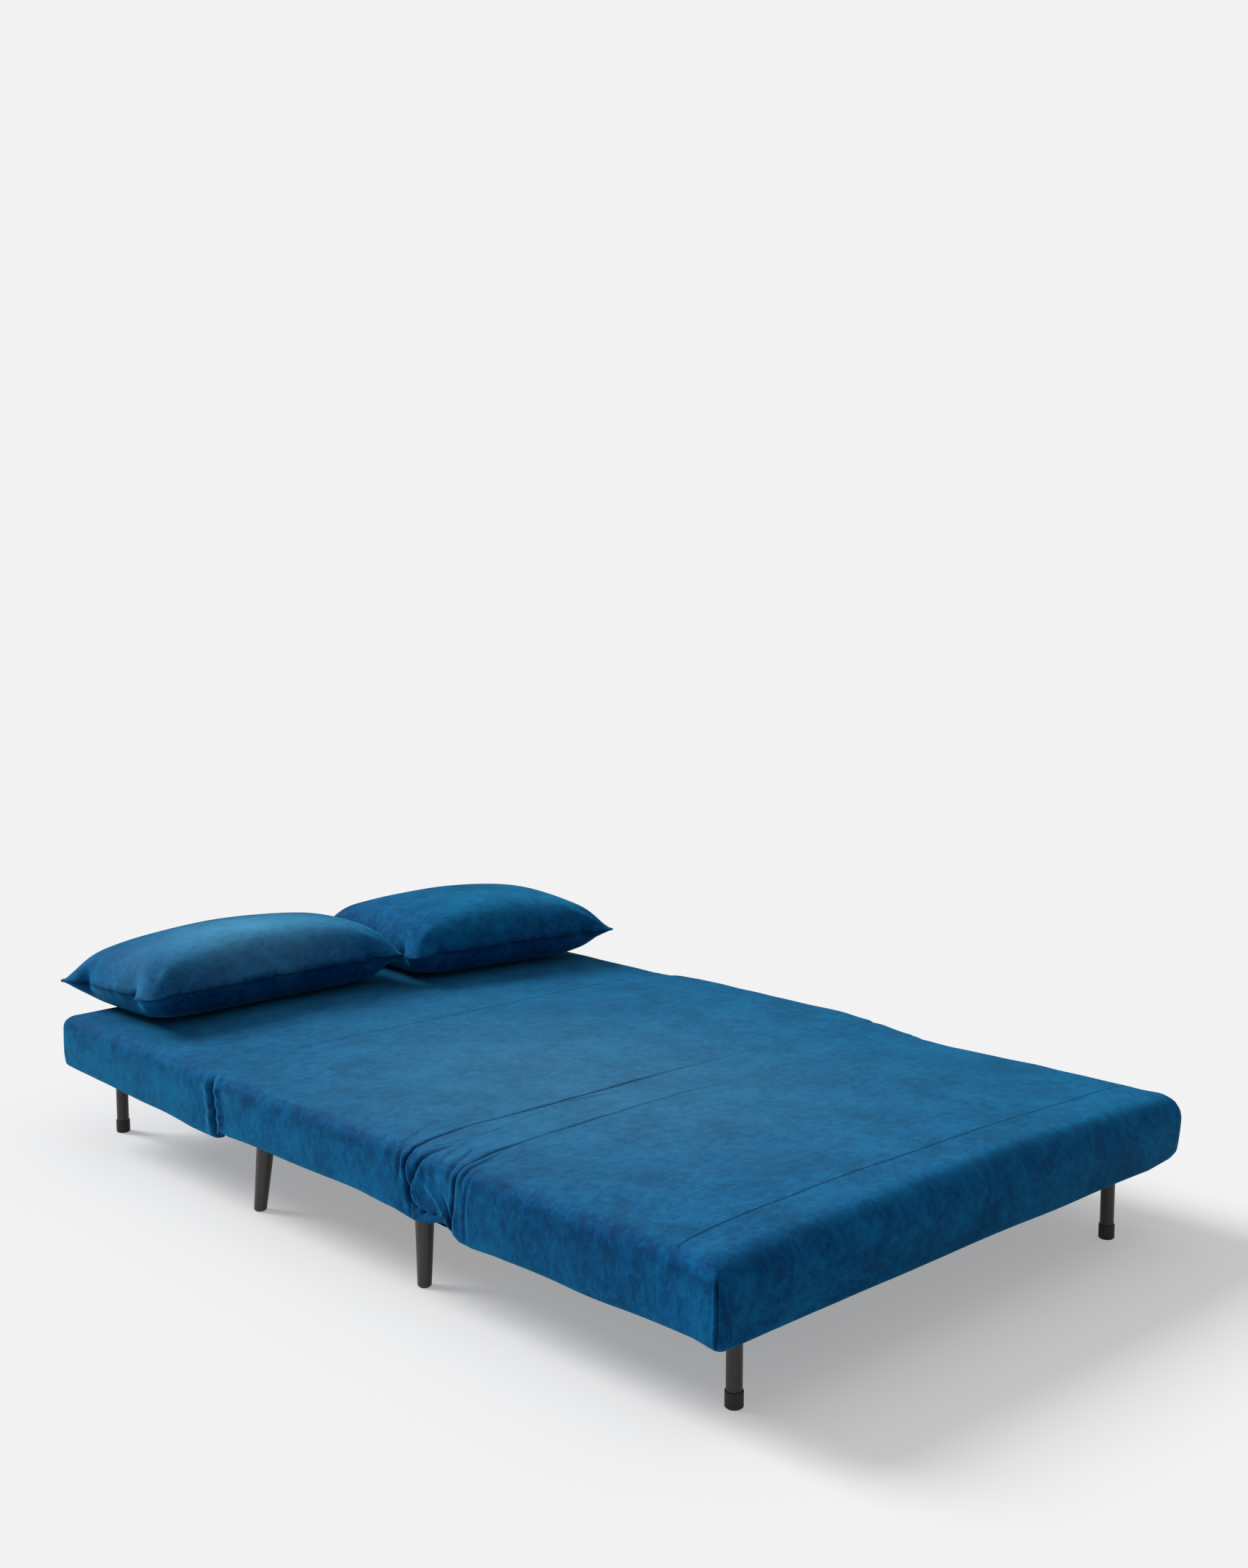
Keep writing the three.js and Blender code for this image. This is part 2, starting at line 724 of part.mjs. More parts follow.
// Toothed rim of the seat arm: saw teeth over the part that the pawl sweeps, plain elsewhere
function sectorOutline() {
  const root = sectorRadius - toothDepth;
  const pitch = (toothEndAngle - toothStartAngle) / toothCount;
  const points = [];
  for (let i = 0; i < toothCount; i += 1) {
    const start = toothStartAngle + pitch * i;
    const end = start + pitch;
    points.push(...arc(backPivot, backPivotHeight, root, start, start, 1).slice(0, 1));
    points.push(...arc(backPivot, backPivotHeight, sectorRadius, end, end, 1).slice(0, 1));
  }
  const wholeTurn = 360 + toothStartAngle;
  const plainRim = arc(backPivot, backPivotHeight, root, toothEndAngle, wholeTurn, 2 * smallArcSteps);
  points.push(...plainRim.slice(0, -1));
  return new THREE.Shape(points);
}

// Pawl: a small lever whose tip stands just clear of the teeth
function pawlPlace(reach, angle) {
  const radians = THREE.MathUtils.degToRad(angle);
  const y = backPivot + reach * Math.cos(radians);
  return new THREE.Vector2(y, backPivotHeight + reach * Math.sin(radians));
}

function pawlOutline(pivot, tip) {
  const direction = tip.clone().sub(pivot).normalize();
  const start = THREE.MathUtils.radToDeg(direction.angle());
  const aside = new THREE.Vector2(-direction.y, direction.x);
  return new THREE.Shape([
    ...arc(pivot.x, pivot.y, pawlRadius, start + 90, start + 270, 2 * smallArcSteps),
    tip.clone().addScaledVector(aside, -pawlTipWidth),
    tip,
  ]);
}

function addClickClack() {
  const pawlPivot = pawlPlace(pawlPivotReach, pawlPivotAngle);
  const pawlTip = pawlPlace(sectorRadius + pawlTipGap, pawlTipAngle);
  const bore = rodX(pivotRadius + fitGap, -halfWidth, halfWidth, backPivot, backPivotHeight);
  const pawlBore = rodX(pawlStudRadius + fitGap, -halfWidth, halfWidth, pawlPivot.x, pawlPivot.y);
  const inner = innerPlane;
  const outer = outerPlane + plateThickness;
  const spacerShares = [0.25, 0.8];
  for (const side of sides) {
    let seatArm = sidePlate(armOutline(-1), side.sign, inner, inner + plateThickness);
    seatArm = seatArm.add(sidePlate(sectorOutline(), side.sign, inner, inner + plateThickness));
    addPiece(`click_clack_seat_arm_${side.name}`, seatArm.subtract(bore), zinc);

    let backArm = sidePlate(armOutline(1), side.sign, outerPlane, outer);
    const rim = arc(backPivot, backPivotHeight, backArmRadius, 0, 360, roundSteps);
    const disc = new THREE.Shape(rim.slice(0, -1));
    backArm = backArm.add(sidePlate(disc, side.sign, outerPlane, outer));
    const planes = [side.sign * inner, side.sign * (outerPlane + runningGap)].sort((a, b) => a - b);
    for (const share of spacerShares) {
      const y = backPivot + armBarOffset + armBarLength * share;
      const z = frameBottom + armBarRise + armBarHeight / 2;
      backArm = backArm.add(rodX(spacerRadius, planes[0], planes[1], y, z));
    }
    addPiece(`click_clack_back_arm_${side.name}`, backArm.subtract(bore).subtract(pawlBore), zinc);

    const place = [backPivot, backPivotHeight];
    const pivot = headedPin(side.sign, inner, outer, ...place, pivotRadius, pivotHeadRadius);
    addPiece(`click_clack_pivot_${side.name}`, pivot, zinc);

    const lever = sidePlate(
      pawlOutline(pawlPivot, pawlTip), side.sign, inner + pawlSlack, inner + plateThickness - pawlSlack,
    );
    const studPlanes = [side.sign * (inner + runningGap), side.sign * (outer + fitGap + runningGap)];
    studPlanes.sort((a, b) => a - b);
    const headPlanes = [side.sign * (outer + fitGap), side.sign * (outer + fitGap + runningGap)];
    headPlanes.sort((a, b) => a - b);
    const stud = rodX(pawlStudRadius, studPlanes[0], studPlanes[1], pawlPivot.x, pawlPivot.y);
    const head = rodX(pawlRadius, headPlanes[0], headPlanes[1], pawlPivot.x, pawlPivot.y);
    addPiece(`click_clack_pawl_${side.name}`, lever.add(stud).add(head), zinc);
  }
}

// Slack fabric between two sections, lapped onto their rounded ends:
// a closed sleeve around the gap, an open arch over the crease
function addGusset(name, before, after, sag, innerBottom) {
  const low = before.high;
  const high = after.low;
  const outside = solid(alongY(acrossOutline(0, sag, undersideHeight), low - gussetLap, high + gussetLap));
  const inner = acrossOutline(coverThickness, sag, innerBottom);
  const inside = solid(alongY(inner, low - gussetLap - cutOverrun, high + gussetLap + cutOverrun));
  const gusset = outside.subtract(inside);
  const clear = gusset.subtract(sectionBody(before, -fitGap, undersideHeight - cutOverrun));
  addPiece(name, clear.subtract(sectionBody(after, -fitGap, undersideHeight - cutOverrun)), velvet);
}

// Pillow: two bowed skins that meet in a seam, the lower one pressed flat on the bed
function addPillow(name, centre, length, depth, turn) {
  const [across, along] = pillowSteps;
  const seamHeight = crownTop + pillowSeamHeight;
  const rise = crownTop + pillowThickness - seamHeight;
  const cosine = Math.cos(THREE.MathUtils.degToRad(turn));
  const sine = Math.sin(THREE.MathUtils.degToRad(turn));
  const positions = [];
  const place = (i, j, up) => {
    const u = Math.sin((Math.PI / 2) * ((2 * i) / across - 1));
    const v = Math.sin((Math.PI / 2) * ((2 * j) / along - 1));
    const fullness = Math.max((1 - u * u) * (1 - v * v), 0) ** pillowFullness;
    const y = (depth / 2) * u * (1 + pillowBowShare * (1 - v * v));
    const x = (length / 2) * v;
    const worldX = centre.x + cosine * x - sine * y;
    const worldY = centre.y + sine * x + cosine * y;
    const under = Math.max(seamHeight - rise * fullness * 2, topHeight(worldX) + fitGap);
    positions.push(worldX, worldY, up ? seamHeight + rise * fullness : under);
    return positions.length / 3 - 1;
  };
  const top = [];
  const bottom = [];
  for (let i = 0; i <= across; i += 1) {
    top.push([]);
    bottom.push([]);
    for (let j = 0; j <= along; j += 1) {
      const seam = i === 0 || j === 0 || i === across || j === along;
      top[i].push(place(i, j, true));
      bottom[i].push(seam ? top[i][j] : place(i, j, false));
    }
  }
  const faces = [];
  for (let i = 0; i < across; i += 1) {
    for (let j = 0; j < along; j += 1) {
      const upper = [top[i][j], top[i + 1][j], top[i + 1][j + 1], top[i][j + 1]];
      const lower = [bottom[i][j], bottom[i + 1][j], bottom[i + 1][j + 1], bottom[i][j + 1]];
      faces.push(upper[0], upper[2], upper[1], upper[0], upper[3], upper[2]);
      faces.push(lower[0], lower[1], lower[2], lower[0], lower[2], lower[3]);
    }
  }
  const geometry = new THREE.BufferGeometry();
  geometry.setAttribute('position', new THREE.Float32BufferAttribute(positions, 3));
  geometry.setIndex(faces);
  geometry.computeVertexNormals();
  addPiece(name, geometry, velvet);
}

for (const section of [backrest, seat, footrest]) {
  addFrame(section);
  addDeck(section);
  addFoam(section);
  addCover(section);
}
addPanels();
addWoodLegs();
addTubeLegs(backrest);
addTubeLegs(footrest);
addLinks();
addClickClack();
addGusset('footrest_gusset', footrest, seat, gussetSag, undersideHeight + coverThickness);
addGusset('crease_gusset', seat, backrest, creaseSag, undersideHeight - cutOverrun);

const leftDepth = (pillowDepth / 2) * (1 + pillowBowShare);
const leftPillow = new THREE.Vector2(
  -halfWidth + leftPillowSideInset + pillowLength / 2,
  overallLength / 2 - leftDepth,
);
addPillow('pillow_left', leftPillow, pillowLength, pillowDepth, 0);
const rightPillow = new THREE.Vector2(
  leftPillow.x + pillowLength / 2 + pillowSpacing + rightPillowLength / 2,
  leftPillow.y - rightPillowShift,
);
addPillow('pillow_right', rightPillow, rightPillowLength, rightPillowDepth, rightPillowTurn);

export default part;
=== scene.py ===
# A click clack sofa bed opened flat: backrest, seat and fold-out footrest in teal blue velvet,
# on steel frames with tapered wooden legs and folding tube legs, with two loose pillows.
import math

import bpy
import numpy as np
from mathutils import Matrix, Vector


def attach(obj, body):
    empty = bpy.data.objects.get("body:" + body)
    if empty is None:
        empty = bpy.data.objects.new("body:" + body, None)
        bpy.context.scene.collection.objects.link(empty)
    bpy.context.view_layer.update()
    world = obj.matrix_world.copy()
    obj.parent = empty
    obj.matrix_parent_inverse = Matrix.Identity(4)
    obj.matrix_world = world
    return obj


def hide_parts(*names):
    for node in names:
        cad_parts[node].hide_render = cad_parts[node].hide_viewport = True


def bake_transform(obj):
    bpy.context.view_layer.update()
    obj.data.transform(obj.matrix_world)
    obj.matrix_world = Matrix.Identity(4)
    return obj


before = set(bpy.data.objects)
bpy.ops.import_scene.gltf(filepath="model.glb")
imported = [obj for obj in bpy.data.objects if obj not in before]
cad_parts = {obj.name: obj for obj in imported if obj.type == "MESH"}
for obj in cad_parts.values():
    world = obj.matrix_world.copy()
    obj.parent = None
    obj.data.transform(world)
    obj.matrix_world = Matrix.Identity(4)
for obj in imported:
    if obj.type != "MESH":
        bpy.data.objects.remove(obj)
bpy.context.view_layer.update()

# Camera: stands off the near corner of the foot end, about as high as a seated person's eyes,
# and looks along the bed to the pillows.
camera_data = bpy.data.cameras.new("camera")
camera_data.sensor_width = 36
camera_data.lens = 43.636
camera = bpy.data.objects.new("camera", camera_data)
camera.location = (-2.41315, -2.7193, 1.2561)
camera.rotation_euler = Vector((0.6820, 0.7198, -0.1289)).to_track_quat("-Z", "Y").to_euler()
bpy.context.scene.collection.objects.link(camera)
bpy.context.scene.camera = camera


# Steel frames: folded angle rails round each section, the lugs and plates on them, the brackets
# of the folding legs, their tubes and the footrest links, all in one dark satin powder coat.
class Amount:
    """A socket of a material's nodes. Sums written on it add Math nodes."""

    def __init__(self, finish, socket):
        self.finish = finish
        self.socket = socket

    def sum_of(self, operation, first, second=0.0):
        return self.finish.node("ShaderNodeMath", {"operation": operation}, {0: first, 1: second})

    def __add__(self, other):
        return self.sum_of("ADD", self, other)

    __radd__ = __add__

    def __mul__(self, other):
        return self.sum_of("MULTIPLY", self, other)

    __rmul__ = __mul__

    def __pow__(self, other):
        return self.sum_of("POWER", self, other)


class Finish:
    """A new material for one of the object's finishes, or the nodes of the owner given."""

    def __init__(self, name, owner=None):
        self.owner = owner or bpy.data.materials.new(name)
        self.owner.use_nodes = True
        self.tree = self.owner.node_tree
        self.tree.nodes.clear()

    def node(self, kind, settings=None, sockets=None, output=0):
        """Adds any node: first its settings or a ramp's stops, then values or links of its sockets."""
        made = self.tree.nodes.new(kind)
        for key, value in (settings or {}).items():
            if key == "stops":
                ramp = made.color_ramp
                while len(ramp.elements) < len(value):
                    ramp.elements.new(1.0)
                for element, (place, colour) in zip(ramp.elements, value):
                    element.position = place
                    element.color = (*colour, 1.0)
            else:
                setattr(made, key, value)
        for key, value in (sockets or {}).items():
            if isinstance(value, Amount):
                self.tree.links.new(value.socket, made.inputs[key])
            else:
                if isinstance(value, tuple) and made.inputs[key].type == "RGBA":
                    value = (*value, 1.0)
                made.inputs[key].default_value = value
        return Amount(self, made.outputs[output]) if made.outputs else None

    def place(self):
        """Where a point lies on the bed, in metres."""
        return self.node("ShaderNodeTexCoord", output="Object")

    def stretch(self, vector, scale):
        """Places times scale, so that a pattern of size 1 repeats scale times in a metre."""
        return self.node("ShaderNodeMapping", None, {"Vector": vector, "Scale": scale})

    def noise(self, vector, scale, detail=3.0, roughness=0.5, swirl=0.0):
        """Clouds from 0 to 1, scale of them in a metre."""
        sockets = {"Vector": vector, "Scale": scale, "Detail": detail, "Roughness": roughness}
        return self.node("ShaderNodeTexNoise", None, {**sockets, "Distortion": swirl})

    def cells(self, vector, scale):
        """Distance from the nearest of many scattered seeds, scale of them in a metre."""
        return self.node("ShaderNodeTexVoronoi", None, {"Vector": vector, "Scale": scale}, "Distance")

    def mix(self, share, first, second):
        """The first colour where the share is 0, the second where it is 1."""
        return self.node("ShaderNodeMix", {"data_type": "RGBA"}, {0: share, 6: first, 7: second}, 2)

    def ramp(self, share, *stops):
        """A colour that runs through the stops, each of them a share and its colour."""
        return self.node("ShaderNodeValToRGB", {"stops": stops}, {"Fac": share})

    def painted(self, name):
        """The number that the mesh holds at its points under this name."""
        return self.node("ShaderNodeAttribute", {"attribute_name": name}, None, "Fac")

    def bump(self, height, strength, distance):
        """Bumps of the surface, height times distance in metres, softened by the strength."""
        sockets = {"Height": height, "Strength": strength, "Distance": distance}
        return self.node("ShaderNodeBump", None, sockets)

    def seen(self):
        """1 where the camera, a reflection or a look through glass meets it, and 0 for other light."""
        kinds = ("Camera", "Glossy", "Transmission")
        return sum(self.node("ShaderNodeLightPath", output=f"Is {kind} Ray") for kind in kinds)

    def surface(self, **sockets):
        """Ends the material in one shader. An underscore stands for the space in a socket's name."""
        named = {key.replace("_", " "): value for key, value in sockets.items()}
        shader = self.node("ShaderNodeBsdfPrincipled", None, named)
        self.node("ShaderNodeOutputMaterial", None, {"Surface": shader})
        return self.owner


def powder_coat():
    """The powder's fine speckle as bumps, and slow patches in its colour and gloss."""
    finish = Finish("powder_coat")
    place = finish.place()
    speckle = finish.noise(place, 900.0, detail=2.0)
    patches = finish.noise(place, 14.0)
    colour = finish.mix(patches, (0.016, 0.016, 0.017), (0.026, 0.025, 0.026))
    return finish.surface(
        Base_Color=colour, Roughness=patches * 0.14 + 0.38,
        Normal=finish.bump(speckle, strength=0.12, distance=0.0004),
    )


def dress(material, names):
    """Gives the CAD nodes with these names the material."""
    for name in names:
        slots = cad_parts[name].data.materials
        slots.clear()
        slots.append(material)


sides = ("left", "right")
sections = ("backrest", "seat", "footrest")
end_sections = ("backrest", "footrest")
rail_places = ("left", "right", "foot_end", "head_end")
rails = [f"{section}_rail_{place}" for section in sections for place in rail_places]
brackets = [f"{section}_leg_bracket_{side}" for section in end_sections for side in sides]
tubes = [f"{section}_leg_{side}" for section in end_sections for side in sides]
links = [f"footrest_link_{side}" for side in sides]
dress(powder_coat(), rails + brackets + tubes + links)


# Click clack mechanism and pins: pressed arms with a toothed rim, pawls and headed pins of
# zinc plated steel, with the faint bluish patches that the plating has.
def zinc_plating():
    """Clouds between bluish and warm grey, and the zinc's crystals in its gloss."""
    finish = Finish("zinc_plating")
    place = finish.place()
    spangle = finish.cells(place, 260.0)
    cloud = finish.noise(place, 45.0, detail=4.0)
    colour = finish.mix(cloud, (0.42, 0.44, 0.47), (0.62, 0.61, 0.57))
    return finish.surface(
        Base_Color=colour, Metallic=1.0, Roughness=cloud * 0.18 + spangle * 0.1 + 0.26,
        Normal=finish.bump(cloud, strength=0.08, distance=0.0004),
    )


arm_parts = ("seat_arm", "back_arm", "pivot", "pawl")
arms = [f"click_clack_{part}_{side}" for part in arm_parts for side in sides]
pins = [f"link_pin_{part}_{side}" for part in ("seat", "footrest") for side in sides]
dress(zinc_plating(), arms + pins)


# Decks: one plywood board under the foam of each section, with a warm face veneer whose grain
# runs along the bed. Each board is screwed down onto the rails of its frame.
def plywood():
    """Grain drawn out along the bed, from dark veins to pale wood."""
    finish = Finish("plywood")
    grain_place = finish.stretch(finish.place(), (60.0, 3.0, 60.0))
    grain = finish.noise(grain_place, 1.0, detail=6.0, roughness=0.6)
    vein, veneer, pale_veneer = (0.45, 0.28, 0.13), (0.62, 0.43, 0.23), (0.72, 0.53, 0.31)
    return finish.surface(
        Base_Color=finish.ramp(grain, (0.3, vein), (0.55, veneer), (0.8, pale_veneer)),
        Roughness=grain * 0.2 + 0.55, Normal=finish.bump(grain, strength=0.2, distance=0.0006),
    )


dress(plywood(), [f"{section}_deck" for section in sections])


# Wooden legs: four turned and tapered legs of dark stained beech under the seat, each screwed
# by its threaded stud into a plate of the seat frame.
def dark_wood():
    """Grain and pores drawn out along the leg, under a thin coat of lacquer."""
    finish = Finish("dark_wood")
    place = finish.place()
    grain = finish.noise(finish.stretch(place, (140.0, 140.0, 7.0)), 1.0, detail=5.0, roughness=0.6)
    pores = finish.noise(finish.stretch(place, (700.0, 700.0, 30.0)), 1.0, detail=2.0)
    dark, stained, worn = (0.014, 0.010, 0.010), (0.030, 0.022, 0.021), (0.046, 0.034, 0.031)
    return finish.surface(
        Base_Color=finish.ramp(grain, (0.3, dark), (0.6, stained), (0.85, worn)),
        Roughness=grain * 0.14 + 0.34, Coat_Weight=0.15,
        Normal=finish.bump(grain + pores * 0.5, strength=0.15, distance=0.0004),
    )


dress(dark_wood(), [f"seat_leg_{end}_{side}" for end in ("back", "front") for side in sides])


# Rubber caps: one on the foot of each folding leg, moulded in matt black rubber and pushed on
# over the end of the tube. They are a little greyer where they rub.
def moulded_rubber():
    """Scuffs that are greyer, rougher and higher than the skin between them."""
    finish = Finish("moulded_rubber")
    scuff = finish.noise(finish.place(), 90.0, detail=5.0, roughness=0.6)
    return finish.surface(
        Base_Color=finish.mix(scuff, (0.006, 0.006, 0.006), (0.014, 0.014, 0.014)),
        Roughness=scuff * 0.2 + 0.6, Normal=finish.bump(scuff, strength=0.15, distance=0.0005),
    )


dress(moulded_rubber(), [f"{section}_leg_cap_{side}" for section in end_sections for side in sides])


# Dust cover: a thin black non-woven felt that closes the seat frame from below, stapled to it
# along the edges. Its fibres lie mostly along the bed, and needling has left small dimples.
def felt():
    """Short fibres, longer along the bed than across it, with a dimple for each needle."""
    finish = Finish("felt")
    place = finish.place()
    fibre = finish.noise(finish.stretch(place, (500.0, 220.0, 500.0)), 1.0, detail=4.0, roughness=0.7)
    dimple = finish.cells(place, 420.0)
    return finish.surface(
        Base_Color=finish.mix(fibre, (0.008, 0.008, 0.009), (0.022, 0.022, 0.024)), Roughness=0.95,
        Normal=finish.bump(fibre + dimple * 0.8, strength=0.4, distance=0.0006),
    )


dress(felt(), ["seat_dust_cover"])


# Velvet: short teal blue pile with a soft sheen, paler where the light brushes along it, in
# cloudy patches where hands have turned the pile. The panels under backrest and footrest wear it too.
deep_teal = (0.0002, 0.043, 0.142)
teal = (0.0004, 0.077, 0.226)
pale_teal = (0.0020, 0.119, 0.304)
# The last colour is painted shade, laid into folds, seams, the slit and along the edges.
painted_shade_teal = (0.0002, 0.014, 0.058)


def velvet(name, on_cloth, seamed, sheen=0.85, brushed_and_lit=(0.125, 0.305, 0.460)):
    """Pattern on the cloth's own map, or on the piece's place. The attribute crease lays painted shade into
    seams, folds and edges; a second one lays on the paler colour, of pile brushed up and of painted light."""
    finish = Finish(name)
    place = finish.node("ShaderNodeUVMap", {"uv_map": "cloth"}) if on_cloth else finish.place()
    clouds = finish.noise(place, 7.0, detail=10.0, roughness=0.74, swirl=0.3)
    crush_place = finish.stretch(place, (44.0, 62.0, 52.0))
    crushed = finish.noise(crush_place, 1.0, detail=9.0, roughness=0.80, swirl=0.6)
    pile = finish.noise(place, 1300.0, detail=2.0, roughness=0.6)
    turned = clouds * 0.48 + crushed * 0.52
    colour = finish.ramp(turned, (0.43, deep_teal), (0.5, teal), (0.575, pale_teal))
    if seamed:
        colour = finish.mix(finish.painted("nap") * turned * 1.6, colour, brushed_and_lit)
        colour = finish.mix(finish.painted("crease"), colour, painted_shade_teal)
    return finish.surface(
        Base_Color=colour, Roughness=turned * 0.3 + 0.62, Specular_IOR_Level=0.06,
        Sheen_Weight=sheen, Sheen_Roughness=0.34, Sheen_Tint=(0.05, 0.62, 1.0),
        Normal=finish.bump(pile * 0.3 + crushed * 3.0 + clouds * 3.0, strength=0.30, distance=0.0012),
    )


cover_velvet = velvet("cover_velvet", on_cloth=True, seamed=True)
# The pillows differ in sheen and paler colour: partly pile brushed other ways, partly painted light.
pillow_velvets = {
    "left": velvet("pillow_left_velvet", False, True, sheen=0.7, brushed_and_lit=(0.110, 0.400, 0.660)),
    "right": velvet("pillow_right_velvet", False, True, sheen=0.5, brushed_and_lit=(0.020, 0.360, 0.620)),
}
panel_velvet = velvet("panel_velvet", on_cloth=False, seamed=False)
dress(panel_velvet, ["backrest_back_panel", "footrest_seat_pad"])


# Bed covers: one velvet skin sewn over foam, drawn down the sides and stapled under the frames.
# It runs on over the crease between backrest and seat, and hangs slack over the gap to the footrest.
half_width = 0.600
side_radius = 0.026
shoulder = half_width - side_radius
side_top = 0.262
crown_rise = 0.011
bottom = 0.150
bottom_radius = 0.007
hem_width = 0.011
side_height = side_top - bottom
column_count = 200
corner_columns = 33
corner_power = 2 / 5
row_fineness = 0.16

# Places along the bed of the crease's hinge and the gap's middle, the distance from the middle line
# of the edge between top and side, the depth of a fold whose painted shade is full, and of the deepest
# dent.
crease_place = 0.2885
gap_place = -0.345
edge_line = 0.592
deep_fold = 0.0045
deepest_dent = 0.0080

# Lines across the bed, as places v along it for distances u from the middle line; beyond the
# shoulder, u goes on down the side to the hem at about 0.71.
head_seam = ([-0.71, -0.678, -0.656, -0.634, -0.60, -0.575, -0.53, -0.475, -0.394, -0.30, -0.18, -0.05,
              0.12, 0.25, 0.36, 0.48, 0.56, 0.60, 0.634, 0.656, 0.71],
             [0.299, 0.304, 0.309, 0.313, 0.316, 0.323, 0.334, 0.339, 0.338, 0.333, 0.328, 0.323,
              0.321, 0.325, 0.328, 0.323, 0.317, 0.314, 0.311, 0.307, 0.299])
foot_seam = ([-0.71, -0.62, -0.60, -0.58, -0.549, -0.504, -0.404, -0.24, -0.05, 0.07, 0.35, 0.56, 0.59,
              0.62, 0.71],
             [-0.926, -0.925, -0.913, -0.897, -0.889, -0.886, -0.8845, -0.885, -0.887, -0.8895,
              -0.890, -0.890, -0.902, -0.925, -0.926])
seat_crease = ([-0.71, -0.67, -0.65, -0.634, -0.622, -0.61, -0.592, -0.575, -0.55, -0.52, -0.46, -0.39,
                -0.31, -0.22, -0.08, 0.02, 0.14, 0.27, 0.40, 0.56, 0.62, 0.71],
               [-0.298, -0.295, -0.289, -0.282, -0.279, -0.281, -0.286, -0.284, -0.278, -0.274, -0.273,
                -0.2785, -0.281, -0.2825, -0.2835, -0.2865, -0.2895, -0.293, -0.295, -0.2965, -0.299,
                -0.299])
foot_crease = ([-0.71, -0.684, -0.662, -0.646, -0.63, -0.612, -0.592, -0.574, -0.548, -0.516, -0.478,
                -0.416, -0.348, -0.276, -0.217, -0.13, -0.05, 0.02, 0.10, 0.24, 0.35, 0.48, 0.58, 0.62,
                0.66, 0.71],
               [-0.400, -0.4006, -0.4055, -0.409, -0.411, -0.4136, -0.4187, -0.418, -0.4104, -0.4045,
                -0.4028, -0.3995, -0.3985, -0.398, -0.401, -0.4015, -0.4025, -0.4045, -0.405, -0.3995,
                -0.398, -0.399, -0.405, -0.411, -0.408, -0.401])
gap_edge = ([-0.71, 0.71], [-0.375, -0.375])

